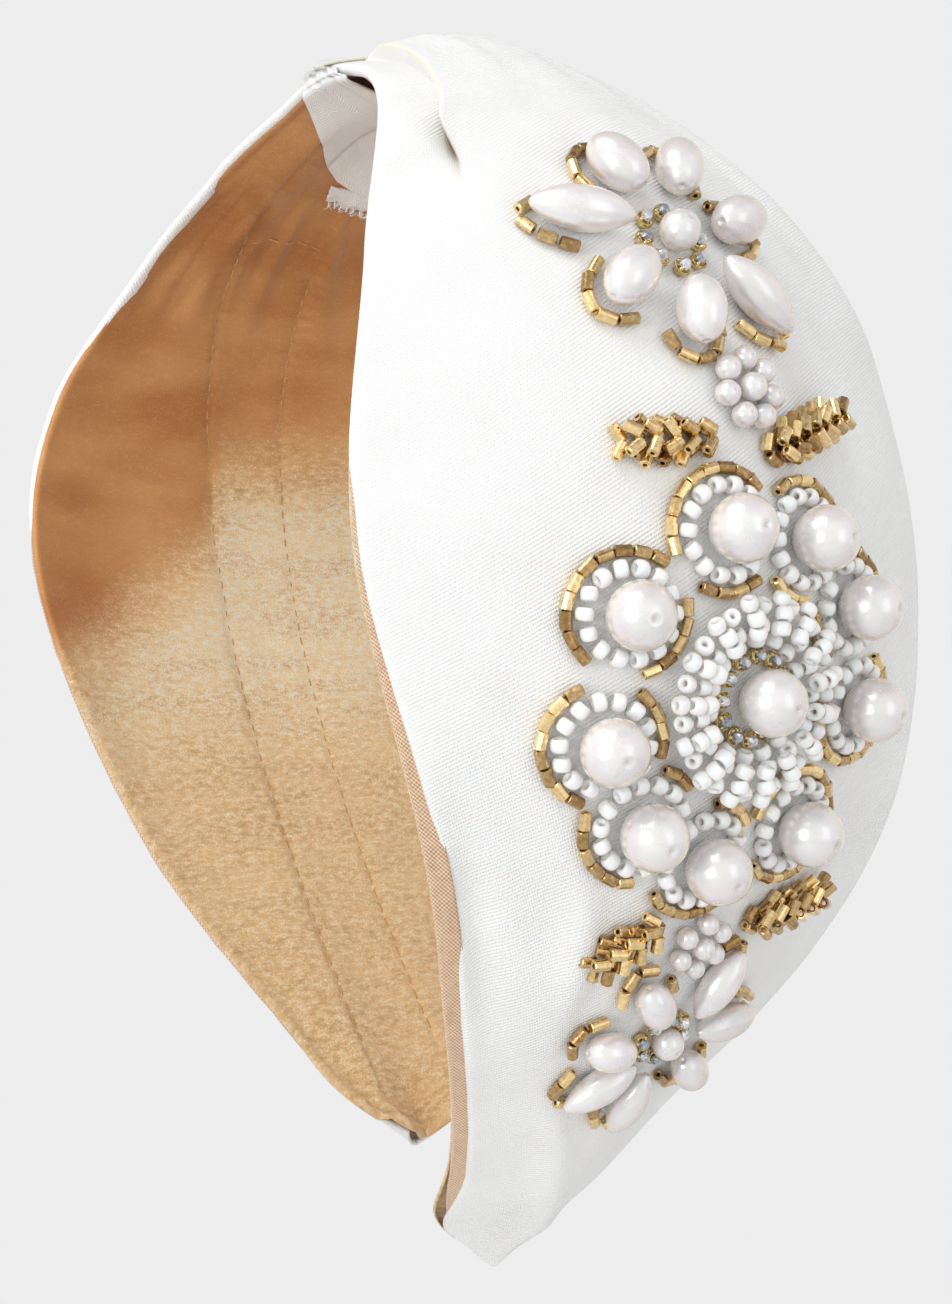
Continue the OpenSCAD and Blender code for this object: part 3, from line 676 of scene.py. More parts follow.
def lining_folds(s, y, u, side):
    """Height of the lining's folds towards the head, in mm."""
    t = t_of(s, side)
    top = ease(s, 14, 22) * (1 - ease(s, 34, 62))
    by_tail = hump(s, 15, 10) * hump(y, 4, 9)
    height = 0.45 + (1 - by_tail) * top * (0.5 * np.cos(15 * u + 0.5) + 0.35 * np.cos(27 * u + 1.7))
    height = height - 0.3 * by_tail - 0.7 * fold_shade(s, y)
    bright = np.minimum(lining_tone(s, y, side), 1)
    height = height + bright * 0.16 * noise(s / 2.1, y / 7, 8) + 0.10 * noise(s / 1.6, y / 1.9, 9) * bright
    for ridge_s, strength in ((75.5, 0.28), (82, 0.42), (85, 0.35), (90, 0.25), (99, 0.2), (118, 0.18)):
        bent = ridge_s + 1.2 * noise(y / 9, 0 * y + ridge_s, 10)
        height = height + 1.8 * strength * hump(s, bent, 1.1) * (0.6 + 0.4 * noise(y / 5, 0 * y, 11))
    height = height + 0.25 * noise(s / 18, y / 15, 12)
    channel = np.abs(np.abs(y) - channel_half(t))
    puckers = 0.13 * np.sin(2 * math.pi * s / 2.7) * hump(channel, 1.6, 1.2)
    return np.maximum(height + puckers, 0.12) - 0.42 * hump(channel, 0, 0.6)


def lining_tone(s, y, side):
    """How bright the lining is: coppery above, bright and crinkled below a slanting border. The border is
    partly a change of cloth and partly painted light, with painted shade above it and painted light below.
    """
    if side < 0:
        border = np.interp(y, (-42, -32, -20, -9, -4, 40), (124, 114, 104, 95, 80, 76))
    else:
        border = np.interp(y, (-42, 0, 40), (96, 90, 100))
    ragged = 1.6 * noise(s / 3, y / 5, 13) + 2 * noise(s / 14, y / 12, 14)
    # gloss lifts the tone over 1 for a band of painted sheen on the bright cloth.
    gloss = 0.5 * ease(s, 76, 88) * (1 - ease(s, 112, 142))
    return ease(s + ragged, border - 11, border + 13) * (1 + gloss)


# ---------------------------------------------------------------- cloth sheets on the band
CLOTH_STEP = 0.9
EDGE_ROLL = 0.8
# Thickness of each cloth.
SATIN_T = 0.35
LAME_T = 0.22
TWILL_T = 0.2
WRAP_SATIN_T = 0.4
TAIL_SATIN_T = 0.3


TIP_ROWS = 26


def arm_stations(start_t, side):
    """t along an arm about every CLOTH_STEP, and closer where the tip is rounded.

    A start below 0 lies on the other arm's half of the crown.
    """
    body = np.arange(start_t, TIP_ROUND_START, CLOTH_STEP / ARC[side][-1])
    last = math.acos((1 - TIP_END) / (1 - TIP_ROUND_START))
    tip = 1 - (1 - TIP_ROUND_START) * np.cos(np.linspace(0, last, TIP_ROWS))
    return np.concatenate([body, tip])


def cloth_shares(extra=()):
    """Shares u across the band about every millimetre at its widest, closer round the extra ones."""
    even = np.linspace(-1, 1, 91)
    steps = (-0.03, -0.02, -0.012, -0.006, 0, 0.006, 0.012, 0.02, 0.03)
    close = [share + step for share in extra for step in steps]
    return np.unique(np.round(np.concatenate([even, close]), 4))


class Cloth:
    """A sheet that follows an arm. Points are laid in rows along the arm and columns across it."""

    def __init__(self, side, t, u, front_inset=0.0, back_inset=0.0):
        self.side = side
        self.t = np.repeat(t[:, None], len(u), axis=1)
        self.u = np.repeat(u[None, :], len(t), axis=0)
        inset = np.where(self.u < 0, np.reshape(front_inset, (-1, 1)), np.reshape(back_inset, (-1, 1)))
        self.y = self.u * np.maximum(half_w(self.t, self.u) - inset, 0.3)
        self.s = s_of(self.t, side)
        self.normal = band_normal(side * self.t, self.y)

    def lay(self, depth, height=0.0, shift=0.0):
        """Puts the sheet at a depth, raised by a height out of the band and shifted to the front edge."""
        self.points = band_point(self.side * self.t, self.y, depth)
        over = np.gradient(self.points, axis=1)
        self.points = self.points + self.normal * np.asarray(height)[..., None] \
            - unit(over) * (np.asarray(shift) + 0 * self.t)[..., None]
        across = np.linalg.norm(np.diff(self.points, axis=1), axis=2)
        run = np.concatenate([np.zeros((len(across), 1)), np.cumsum(across, axis=1)], axis=1)
        middle = np.argmin(np.abs(self.u[0]))
        self.weave = np.stack([self.s, run - run[:, middle:middle + 1], 0 * self.s], axis=2)
        return self

    def on_rim(self, values):
        """The values along the front edge, round the tip and back along the back edge."""
        return np.concatenate([values[:, 0], values[-1, 1:], values[-2::-1, -1]])

    def edged(self, profile, scale=1.0):
        """(points, faces, weave) of the sheet, continued past its rim by rows of [out, down]."""
        points = self.points.reshape(-1, 3)
        weave = self.weave.reshape(-1, 3)
        faces = grid_faces(*self.t.shape)
        at, normal, rim_weave = (self.on_rim(v) for v in (self.points, self.normal, self.weave))
        last = self.on_rim(np.arange(self.t.size).reshape(self.t.shape))
        padded = np.concatenate([at[:1], at[:1], at, at[-1:], at[-1:]])
        out = unit(np.cross(unit(padded[4:] - padded[:-4]), normal))
        if np.dot(out[0], at[0] - self.points[0, 1]) < 0:
            out = -out
        side = np.sign(rim_weave[:, 1])
        walked = 0.0
        before = np.zeros(2)
        for step in np.array(profile, float):
            new = at + out * scale * step[0] - normal * scale * step[1]
            index = len(points) + np.arange(len(new))
            walked += float(np.hypot(*(step - before)))
            before = step
            points = np.concatenate([points, new])
            across = np.stack([0 * side, side * walked, 0 * side], axis=1)
            weave = np.concatenate([weave, rim_weave + across])
            faces = np.concatenate([faces, np.stack([last[:-1], last[1:], index[1:], index[:-1]], axis=1)])
            last = index
        return points, faces, weave


ROLL_STEPS = 7
TUCK = (0.4, 0.8)      # how far the turned-in edge reaches back under the band


def roll_profile(radius, steps=ROLL_STEPS, tuck=TUCK):
    """Rows of [out, down] round an edge and back in under it."""
    turns = [math.pi * k / steps for k in range(1, steps + 1)]
    around = [(radius * math.sin(a), radius * (1 - math.cos(a))) for a in turns]
    return around + [(-x, 2 * radius) for x in tuck]


def tip_fullness(t):
    """How much the foam rounds the cloth out near the tip, in mm."""
    return 1.3 * hump(t, 0.972, 0.022)


START_T = {1: 0.05, -1: -0.045}
SIDE_NAMES = {1: "right", -1: "left"}


def finish_bending_piece(piece, material, node):
    """Finishes cloth that bends between the crown and its arm inside the wrap's mouth."""
    piece.data.materials.append(material)
    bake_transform(piece)
    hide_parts(node)


def make_cover(side):
    """The satin of an arm, rolled over the foam's edge and turned in."""
    name = SIDE_NAMES[side]
    t = arm_stations(START_T[side], side)
    cloth = Cloth(side, t, cloth_shares((PLEAT_U,) if side > 0 else ()),
                  cover_inset(t) - tip_fullness(t), -tip_fullness(t))
    folds = right_cover_folds if side > 0 else left_cover_folds
    height, shift = folds(cloth.s, cloth.y, cloth.u)
    tuck_in = 1 - 0.9 * (1 - ease(cloth.s, 15, 24))
    cloth.lay(0, height * tuck_in, shift * tuck_in)
    tighter = 1 - 0.5 * ease(cloth.on_rim(cloth.t), 0.93, 0.97)
    points, faces, weave = cloth.edged(roll_profile(EDGE_ROLL), tighter[:, None])
    tone = np.zeros(len(points))
    if side > 0:
        d = (cloth.u - PLEAT_U) * half_w(cloth.t, cloth.y)
        # pocket is painted shade at the deep lower end of the pleat.
        pocket = 1.5 * hump(cloth.s, 65, 5.5) * hump(d, -0.4, 0.8)
        lip = 0.7 * hump(d, 0.35, 0.22) * ease(cloth.s, 17, 30) * (1 - ease(cloth.s, 60, 70))
        tone[:cloth.t.size] = (lip - pocket).ravel()
    piece = add_object(f"cover_{name}_cloth", points, faces, weave=weave, tone=tone)
    face_outwards(piece, cloth.normal[0, 0])
    thicken(piece, SATIN_T)
    finish_bending_piece(piece, SATIN, f"cover_{name}")


LINING_LAY = 0.12
# The lining's border curls down in rows of (out, down).
LINING_CURL = ((0.45, -0.05), (0.85, -0.3), (0.98, -0.75), (0.8, -1.1))
HEM_ROLL = 0.5
HEM_DEPTH = 0.45
HEM_LAST_T = 0.985
HEM_STEP = 0.8


def inner_depth(t, y):
    """Depth of the lining's face before its folds, kept clear of the cover's turned-in edge."""
    return np.maximum(lining_depth(t, y) + LINING_T, 2 * EDGE_ROLL + SATIN_T) + LINING_LAY


def lining_insets(t):
    """How far the lining's border lies inside the outline, at the front and at the back."""
    low = ease(t, HEM_START_T - HEM_STEP_BACK, HEM_START_T + HEM_STEP_BACK)
    tip = ease(t, 0.9, 0.97)
    return 1.1 - 0.4 * tip - tip_fullness(t), 1.6 - 1.9 * low + 0.3 * tip - tip_fullness(t)


def make_lining(side):
    """The gold cloth on an arm's inner face. Its border curls down onto the cover's turned-in edge."""
    name = SIDE_NAMES[side]
    t = arm_stations(START_T[side] + 0.006, side)
    front, back = lining_insets(t)
    cloth = Cloth(side, t, cloth_shares(), front, back)
    height = lining_folds(cloth.s, cloth.y, cloth.u, side)
    border = ease(1 - np.abs(cloth.u), 0, 0.12)
    cloth.lay(inner_depth(side * cloth.t, cloth.y), -(0.15 + (height - 0.15) * border))
    points, faces, weave = cloth.edged(LINING_CURL)
    # Painted shade on the lining near the knot, deep inside the band, and in its folds.
    knot_painted_shade = 0.35 * (1 - ease(cloth.s, 25, 66))
    tone = lining_tone(cloth.s, cloth.y, side) - 0.45 * fold_shade(cloth.s, cloth.y) - knot_painted_shade
    tone = np.concatenate([tone.ravel()] + [cloth.on_rim(tone)] * len(LINING_CURL))
    piece = add_object(f"lining_{name}_cloth", points, faces, weave=weave, tone=tone)
    face_outwards(piece, -cloth.normal[0, 0])
    thicken(piece, LAME_T)
    finish_bending_piece(piece, LAME, f"lining_{name}")


def make_hem(side):
    """The lining's border, turned out over the lower part of the front edge up to the cover's fold."""
    name = SIDE_NAMES[side]
    t = np.arange(HEM_START_T - HEM_STEP_BACK, HEM_LAST_T, HEM_STEP / ARC[side][-1])
    s = s_of(t, side)
    edge = half_w(t, -1 + 0 * t)
    shares = np.linspace(0, 1, 7)
    y = -(edge[:, None] - (cover_inset(t)[:, None] + 0.25) * (1 - shares))
    tt = t[:, None] + 0 * y
    lift = 0.1 * noise(s[:, None] / 2.5 + 0 * y, shares * 3 + 0 * y, 16)
    strip = band_point(side * tt, y, HEM_DEPTH) + band_normal(side * tt, y) * lift[..., None]
    normal = band_normal(side * t, -edge)
    at = band_point(side * t, -edge, 0)
    out = unit(np.cross(unit(np.gradient(at, axis=0)), normal))
    if np.dot(out[0], strip[0, -1] - strip[0, 0]) < 0:
        out = -out
    profile = roll_profile(HEM_ROLL, 9, (0.8, 1.8))
    rolled = np.stack([at + out * a - normal * (HEM_DEPTH + b) for a, b in profile], axis=1)
    grid = np.concatenate([strip, rolled], axis=1)
    over = np.linalg.norm(np.diff(grid, axis=1), axis=2)
    run = np.concatenate([np.zeros((len(s), 1)), np.cumsum(over, axis=1)], axis=1)
    weave = np.stack([np.repeat(s[:, None], run.shape[1], 1), run, 0 * run], axis=2)
    piece = add_object(f"hem_{name}_cloth", grid, grid_faces(*run.shape), weave=weave)
    face_outwards(piece, normal[0])
    thicken(piece, TWILL_T)
    finish_piece(piece, f"{name}_arm", TWILL, f"hem_{name}")
    return piece


for side in (1, -1):
    make_cover(side)
hems = {side: make_hem(side) for side in (1, -1)}
for side in (1, -1):
    make_lining(side)


# ---------------------------------------------------------------- foam padding
PAD_START_T = 0.079
PAD_SHARE = 0.85
PAD_EDGE_ROUND = 0.5


def closed_sheet(outer, inner):
    """Points and faces of a closed sheet between two grids: a ring round each row, and two ends."""
    rings = np.concatenate([outer, inner[:, ::-1]], axis=1)
    rows, around = rings.shape[:2]
    k = np.arange(around // 2 - 1)
    end = np.stack([k, k + 1, around - 2 - k, around - 1 - k], axis=1)
    return rings, np.concatenate([ring_faces(rows, around), end, end[:, ::-1] + (rows - 1) * around])


def make_padding(side):
    """An arm's foam, which fills the room between the cover's folds and the lining."""
    name = SIDE_NAMES[side]
    t = np.linspace(PAD_START_T, FRAME_END, 130)
    u = np.linspace(-1, 1, 45)
    cloth = Cloth(side, t, PAD_SHARE * u)
    folds = right_cover_folds if side > 0 else left_cover_folds
    height, _ = folds(cloth.s, cloth.y, cloth.u)
    sunk = np.minimum(height - 0.25, 0)
    rounded = PAD_EDGE_ROUND * ease(np.abs(u)[None, :], 0.9, 1)
    top = PAD_TOP - sunk + rounded
    bottom = np.minimum(PAD_TOP + PAD_T, lining_depth(side * cloth.t, cloth.y) - GAP) - rounded
    bottom = np.maximum(bottom, top + 0.15)
    outer = cloth.lay(top).points
    inner = cloth.lay(bottom).points
    points, faces = closed_sheet(outer, inner)
    piece = add_object(f"padding_{name}_foam", points, faces)
    finish_piece(piece, f"{name}_arm", FOAM, f"padding_{name}")


for side in (1, -1):
    make_padding(side)


# ---------------------------------------------------------------- the knot
KNOT_REACH = 0.0795
# How far along t the left mouth moves over, by y, and how each mouth is turned in: (x, share inwards).
MOUTH_SLANT = ((-15, 0.127), (-8, 0.081), (-1.7, 0.03), (4.4, 0.01), (7.1, 0.018))
MOUTH_LIP = ((1.01, 0.2), (1.012, 0.5), (1.0, 0.75))
WRAP_LIFT = 0.55
CORNER_POWER = 0.25
SIDE_CLEAR = 0.8


def corner(x):
    return np.sign(x) * np.abs(x) ** CORNER_POWER


def loop_point(t, angle, side_clear, face_clear):
    """(y, depth) on a rounded loop round all the layers."""
    front = half_w(t, -1 + 0 * t) + side_clear
    back = half_w(t, 1 + 0 * t) + side_clear
    y = (back - front) / 2 + (back + front) / 2 * corner(np.cos(angle))
    half = (lining_depth(t, 0.85 * y) + LINING_T) / 2
    return y, half - (half + face_clear) * corner(np.sin(angle))


def loop_angles(count):
    """Angles that give even steps round the squarish loop."""
    fine = np.linspace(0, 2 * math.pi, 1440, endpoint=False)
    y, depth = loop_point(0 * fine, fine, SIDE_CLEAR, WRAP_CLEAR)
    run = np.concatenate([[0], np.cumsum(np.hypot(np.diff(y), np.diff(depth)))])
    return np.interp(np.linspace(0, run[-1], count, endpoint=False), run, fine)


def wrap_ends(angles):
    """t of the wrap's two mouths. The left one slants, and the right one reaches further on the inside."""
    y, _ = loop_point(0 * angles, angles, SIDE_CLEAR, WRAP_CLEAR)
    slant = np.interp(y, *zip(*MOUTH_SLANT))
    inside = ease(-np.sin(angles), -0.05, 0.04) * ease(-y, -2, 8)
    return -KNOT_REACH + slant, KNOT_REACH + 0.06 * inside


def wrap_pleats(x, angles):
    """Height of the pleats that run round the wrap, deepest on its outer face and away from its mouths."""
    across = np.cos(angles)
    pleat = 0.3 * np.cos(9.5 * x + 0.7 * across + 0.4) + 0.2 * np.cos(17 * x + 1.9 - 0.5 * across)
    outer_face = ease(np.sin(angles), -0.2, 0.5)
    return (0.25 + 0.75 * outer_face) * (1 - 0.6 * ease(abs(x), 0.75, 1)) * pleat


def make_wrap():
    """The satin round the crown. x runs from -1 to 1 between its mouths, where it's turned in."""
    angles = loop_angles(220)
    left, right = wrap_ends(angles)
    body = [(x, 0.0) for x in np.linspace(-1, 1, 61)]
    rows = [(-x, inward) for x, inward in MOUTH_LIP[::-1]] + body + list(MOUTH_LIP)
    grid = []
    for x, inward in rows:
        tt = (left + right) / 2 + x * (right - left) / 2
        clear = WRAP_LIFT + wrap_pleats(x, angles) - 0.6 * inward
        y, depth = loop_point(tt, angles, SIDE_CLEAR + np.maximum(clear, 0.1), WRAP_CLEAR + clear)
        grid.append(band_point(tt, y, depth))
    grid = np.stack(grid)
    count, around = grid.shape[:2]
    faces = ring_faces(count, around, flip=True)
    loop = np.linalg.norm(np.roll(grid, -1, axis=1) - grid, axis=2)
    run = np.cumsum(loop, axis=1)
    x_row = np.array([x for x, _ in rows])[:, None] + 0 * run
    weave = np.stack([run, x_row * KNOT_REACH * ARC[1][-1], 0 * run], axis=2)
    tone = 0.65 * ease(np.abs(x_row), 0.985, 1) * (np.sin(angles) > 0.2)[None, :]
    piece = add_object("knot_wrap_cloth", grid, faces, weave=weave, tone=tone)
    top = np.argmax(grid[count // 2, :, 2])
    face_outwards(piece, (0, 0, 1), grid[count // 2, top])
    thicken(piece, WRAP_SATIN_T)
    finish_piece(piece, "crown", SATIN, "knot_wrap")
    return piece


TAIL_START_T = 0.064
TAIL_END_T = 0.086
TAIL_Y = 4.8
TAIL_HALF_W = 4.2
TAIL_TAPER = 40
TAIL_LIFT = 0.35
ARM_L = 220            # a step of 1 in t along the tail, in mm
FRAYED_ARM_L = 230     # the same along the loose threads


def make_tail():
    """The wrap's raw end, laid on the lining beside the left mouth. Its edge is ragged."""
    t = np.linspace(TAIL_START_T, TAIL_END_T, 34)[:, None]
    v = np.linspace(-1, 1, 41)[None, :]
    end = (t - TAIL_START_T) / (TAIL_END_T - TAIL_START_T)
    half = TAIL_HALF_W - TAIL_TAPER * (t - TAIL_START_T)
    y = TAIL_Y + v * half + 0.35 * noise(t * 400 + 0 * v, 0 * t + v * 3, 18) * end
    t = t + 0.0035 * noise(v * 6, 0 * v, 17) * end
    lift = TAIL_LIFT + 0.3 * noise(y / 1.6, t * 130, 19) + 0.225 * end
    points = band_point(-t, y, inner_depth(-t, y) + lift)
    weave = np.stack([t * ARM_L, y, 0 * y], axis=2)
    piece = add_object("knot_tail_cloth", points, grid_faces(*t.shape), weave=weave, tone=0 * y)
    face_outwards(piece, -band_normal(np.array([-TAIL_START_T]), np.array([4.0]))[0])
    thicken(piece, TAIL_SATIN_T)
    finish_bending_piece(piece, SATIN, "knot_tail")
    return piece


make_wrap()
make_tail()


CROWN_PAD_T = 0.069


def make_crown_padding():
    """Bunched padding inside the wrap, round the frame."""
    angles = loop_angles(120)
    outer = []
    inner = []
    for t in np.linspace(-CROWN_PAD_T, CROWN_PAD_T, 25):
        tt = np.full(len(angles), t)
        lumps = -1.5 + 0.2 * noise(np.cos(angles) * 4, tt * 90 + np.sin(angles) * 3, 20)
        y, depth = loop_point(tt, angles, lumps, lumps)
        outer.append(band_point(tt, y, depth))
        y = (channel_half(tt) - 0.9 + 3 * GAP) * corner(np.cos(angles))
        depth = FRAME_TOP + FRAME_T / 2 - (FRAME_T / 2 + 1.4 * GAP) * corner(np.sin(angles))
        inner.append(band_point(tt, y, depth))
    rows = outer + inner[::-1]
    piece = add_object("crown_padding_foam", rows, ring_faces(len(rows), len(angles), closed=True))
    finish_piece(piece, "crown", FOAM, "crown_padding")


make_crown_padding()


# ---------------------------------------------------------------- stitches
def tube_along(path, radius, sides=8):
    """Points and faces of a thread along a path, with rounded ends."""
    path = np.asarray(path, float)
    tangent = unit(np.gradient(path, axis=0))
    first = unit(np.cross(tangent, [0.31, 0.57, 0.76]))
    second = np.cross(tangent, first)
    angle = np.linspace(0, 2 * math.pi, sides, endpoint=False)
    share = np.ones(len(path))
    share[0] = share[-1] = 0.45
    ring = first[:, None] * np.cos(angle)[None, :, None] + second[:, None] * np.sin(angle)[None, :, None]
    points = (path[:, None] + ring * radius * share[:, None, None]).reshape(-1, 3)
    faces = list(ring_faces(len(path), sides, flip=True))
    faces += [range(sides)[::-1], range(len(points) - sides, len(points))]
    return points, faces


class Batch:
    """Many small solids gathered into one mesh."""

    def __init__(self):
        self.points = []
        self.faces = []
        self.tones = []
        self.count = 0

    def add(self, points, faces, tone=0.0):
        self.points.append(points)
        self.faces.extend([tuple(int(i) + self.count for i in f) for f in faces])
        self.tones.append(np.full(len(points), tone))
        self.count += len(points)

    def build(self, name, smooth=True):
        points = np.concatenate(self.points)
        return add_object(name, points, self.faces, smooth, tone=np.concatenate(self.tones))


STITCH_PITCH = 2.7
STITCH_L = 2.3
STITCH_R = 0.15
CHANNEL_START = 31
CHANNEL_END = 14


def lining_surface(side, s, y):
    """A point on the lining's face, folds included."""
    t = t_of(s, side)
    share = y / half_w(t, y)
    height = lining_folds(s, y, share, side)
    return band_point(side * t, y, inner_depth(side * t, y)) - band_normal(side * t, y) * height[:, None]


def thread_stitch(side, s, y):
    """A stitch that dips into the lining at both ends."""
    dip = np.array([0.25, 0.02, -0.08, -0.12, -0.08, 0.02, 0.25])
    place = lining_surface(side, s, y)
    return place + band_normal(side * t_of(s, side), y) * dip[:, None]


def make_channel_stitches(side):
    """Two rows of machine stitches hold the frame's channel, and a curved row closes its top end."""
    batch = Batch()
    rng = np.random.default_rng(31 + side)
    runs = np.linspace(-0.5, 0.5, 7)
    length = ARC[side][-1] - CHANNEL_END
    for middle in np.arange(CHANNEL_START, length, STITCH_PITCH):
        for edge in (-1, 1):
            s = middle + runs * STITCH_L
            y = edge * channel_half(t_of(s, side)) + rng.uniform(-0.08, 0.08)
            batch.add(*tube_along(thread_stitch(side, s, y), STITCH_R), rng.uniform())
    for middle in np.arange(-5.4, 5.5, STITCH_PITCH):
        y = middle + runs * STITCH_L
        s = CHANNEL_START - 1 - 1.6 * (1 - (y / 7) ** 2) + 0 * y + 1.6
        batch.add(*tube_along(thread_stitch(side, s, y), STITCH_R), rng.uniform())
    name = SIDE_NAMES[side]
    piece = batch.build(f"channel_stitches_{name}_thread")
    finish_piece(piece, f"{name}_arm", GOLD_THREAD, f"channel_stitches_{name}")


for side in (1, -1):
    make_channel_stitches(side)


def make_knot_stitches():
    """Hand stitches over the tail's raw end, and the threads that fray out of it."""
    batch = Batch()
    rng = np.random.default_rng(41)
    end_t = TAIL_END_T - 0.004
    run = np.linspace(-0.9, 0.9, 7)
    for i in range(7):
        y = TAIL_Y - 3.4 + 1.1 * i + rng.uniform(-0.2, 0.2) + rng.uniform(-0.5, 0.5) * run
        t = end_t + run / ARM_L
        lift = 1.35 + 0.25 * (1 - (run / 0.9) ** 2)
        batch.add(*tube_along(band_point(-t, y, inner_depth(-t, y) + lift), 0.13), rng.uniform())
    for i in range(22):
        y = TAIL_Y + rng.uniform(-4, 4)
        run = np.linspace(0, rng.uniform(0.8, 2.4), 6)
        t = end_t + 0.002 + run / FRAYED_ARM_L
        y = y + rng.uniform(-0.6, 0.6) * run + 0.2 * np.sin(run * 2 + i)
        lift = 0.75 + 0.1 * run
        batch.add(*tube_along(band_point(-t, y, inner_depth(-t, y) + lift), 0.05, 6), 0.2)
    piece = batch.build("knot_stitches_thread")
    finish_piece(piece, "left_arm", WHITE_THREAD, "knot_stitches")


make_knot_stitches()


# ---------------------------------------------------------------- beads
def separate_solids(node):
    """The points in mm of each separate solid of a CAD node."""
    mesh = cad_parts[node].data
    points = np.array([v.co for v in mesh.vertices])
    edges = np.array([e.vertices[:] for e in mesh.edges])
    welded, weld = np.unique(np.round(points, 7), axis=0, return_inverse=True)
    weld = weld.ravel()
    label = np.arange(len(welded))
    a, b = weld[edges].T
    while True:
        new = label.copy()
        np.minimum.at(new, a, label[b])
        np.minimum.at(new, b, label[a])
        new = new[new]
        if (new == label).all():
            break
        label = new
    return [welded[label == i] / MM for i in np.unique(label)]


NORMAL_T = np.linspace(0.25, 0.98, 150)
NORMAL_CLOTH = Cloth(1, NORMAL_T, np.linspace(-0.95, 0.95, 80)).lay(0)
NORMAL_POINTS = NORMAL_CLOTH.points.reshape(-1, 3)
NORMALS = NORMAL_CLOTH.normal.reshape(-1, 3)


def outward_at(place):
    return NORMALS[np.argmin(((NORMAL_POINTS - place) ** 2).sum(axis=1))]


def bead_places(node, upright=False):
    """(middle, axes, extents) of each bead in a CAD node. Its own axis is x, or z for an upright one."""
    found = []
    for points in separate_solids(node):
        centred = points - points.mean(axis=0)
        values, vectors = np.linalg.eigh(centred.T @ centred)
        odd = 2 if values[2] - values[1] > values[1] - values[0] else 0
        round_bead = values[2] < 1.05 * values[0]
        frame_axes = vectors.T
        spread = points @ frame_axes.T
        middle = ((spread.max(axis=0) + spread.min(axis=0)) / 2) @ frame_axes
        outward = outward_at(middle)
        axis = unit(np.cross(outward, (0.2, 0.3, 0.93))) if round_bead else vectors[:, odd]
        if upright:
            axis = axis if axis @ outward > 0 else -axis
            side = unit(np.cross(axis, [0.3, 0.2, 0.93]))
            axes = np.stack([side, np.cross(axis, side), axis])
        else:
            lift = unit(outward - axis * (outward @ axis))
            axes = np.stack([axis, np.cross(lift, axis), lift])
        local = points @ axes.T
        found.append((middle, axes, local.max(axis=0) - local.min(axis=0)))
    return found


def turned(profile, sides, hexed=0.0):
    """A solid turned about x from rows of [x, r]. A closed profile gives a ring with a hole."""
    profile = np.asarray(profile, float)
    closed = profile[0, 1] > 0 and np.allclose(profile[0], profile[-1])
    rows = profile[:-1] if closed else profile
    angle = np.linspace(0, 2 * math.pi, sides, endpoint=False)
    shape = 1 - hexed * (1 - np.cos(6 * angle)) / 2
    points = np.stack([np.repeat(rows[:, :1], sides, 1),
                       rows[:, 1:] * shape * np.cos(angle),
                       rows[:, 1:] * shape * np.sin(angle)], axis=2).reshape(-1, 3)
    faces = list(ring_faces(len(rows), sides, closed=closed))
    if not closed:
        faces += [range(sides), range(len(points) - sides, len(points))[::-1]]
    return points, faces


TUBE_R, HOLE_R = 0.76, 0.26
SEED_R, SEED_L = 1.12, 1.66
SEED_SQUARENESS = 0.9


def tube_template(length):
    """A glass tube with softly melted ends and a thread hole."""
    end = ((0.5, HOLE_R), (0.05, HOLE_R + 0.04), (0, 0.5), (0.04, 0.66), (0.13, TUBE_R))
    near = [(x - length / 2, r) for x, r in end]
    far = [(length / 2 - x, r) for x, r in end[::-1]]
    return turned(near + far + near[:1], 18, hexed=0.08)


def seed_template():
    """A round seed bead with a thread hole."""
    turns = np.linspace(0, 2 * math.pi, 17)
    along_hole = np.sign(np.cos(turns)) * np.abs(np.cos(turns)) ** SEED_SQUARENESS
    outwards = np.sign(np.sin(turns)) * np.abs(np.sin(turns)) ** SEED_SQUARENESS
    radius = (SEED_R + HOLE_R) / 2 + (SEED_R - HOLE_R) / 2 * outwards
    profile = np.stack([-SEED_L / 2 * along_hole, radius], axis=1)
    profile[-1] = profile[0]
    return turned(profile, 18)


DIMPLE = 0.05


def pearl_template(point=0.0, steps=22, sides=36):
    """A pearl 1 long and 1 wide, drilled at both ends. point sharpens the ends, as on a navette."""
    k = -np.cos(np.linspace(0.12, math.pi - 0.12, steps))
    round_r = np.sqrt(1 - k * k)
    sharp_r = (1 - np.abs(k) ** 2.0) ** 0.92
    r = (1 - point) * round_r + point * sharp_r
    rows = [(a / 2, max(b / 2, 0.03)) for a, b in zip(k, r)]
    start = [(rows[0][0] + DIMPLE, 0.02)]
    end = [(rows[-1][0] - DIMPLE, 0.02)]
    return turned(start + rows + end, sides)


def stone_template():
    """A cut stone: a table, two rings of facets, a girdle and a pavilion."""
    rings = [(0.30, 0.30, 0), (0.86, 0.80, 1), (1.00, 0.82, 1), (1.36, 0.66, 0), (1.62, 0.46, 1)]
    points = []
    for z, r, turn in rings:
        for k in range(8):
            a = 2 * math.pi * (k + turn / 2) / 8
            points.append((r * math.cos(a), r * math.sin(a), z))
    faces = [tuple(range(8))[::-1], tuple(range(32, 40))]
    for i in range(4):
        same = rings[i][2] == rings[i + 1][2]
        for k in range(8):
            a, a1 = i * 8 + k, i * 8 + (k + 1) % 8
            b, b1 = a + 8, (i + 1) * 8 + (k + 1) % 8
            if same:
                faces.append((a, a1, b1, b))
            elif rings[i + 1][2]:
                faces += [(a, a1, b), (a1, b1, b)]
            else:
                faces += [(a, a1, b1), (a, b1, b)]
    return np.array(points), faces


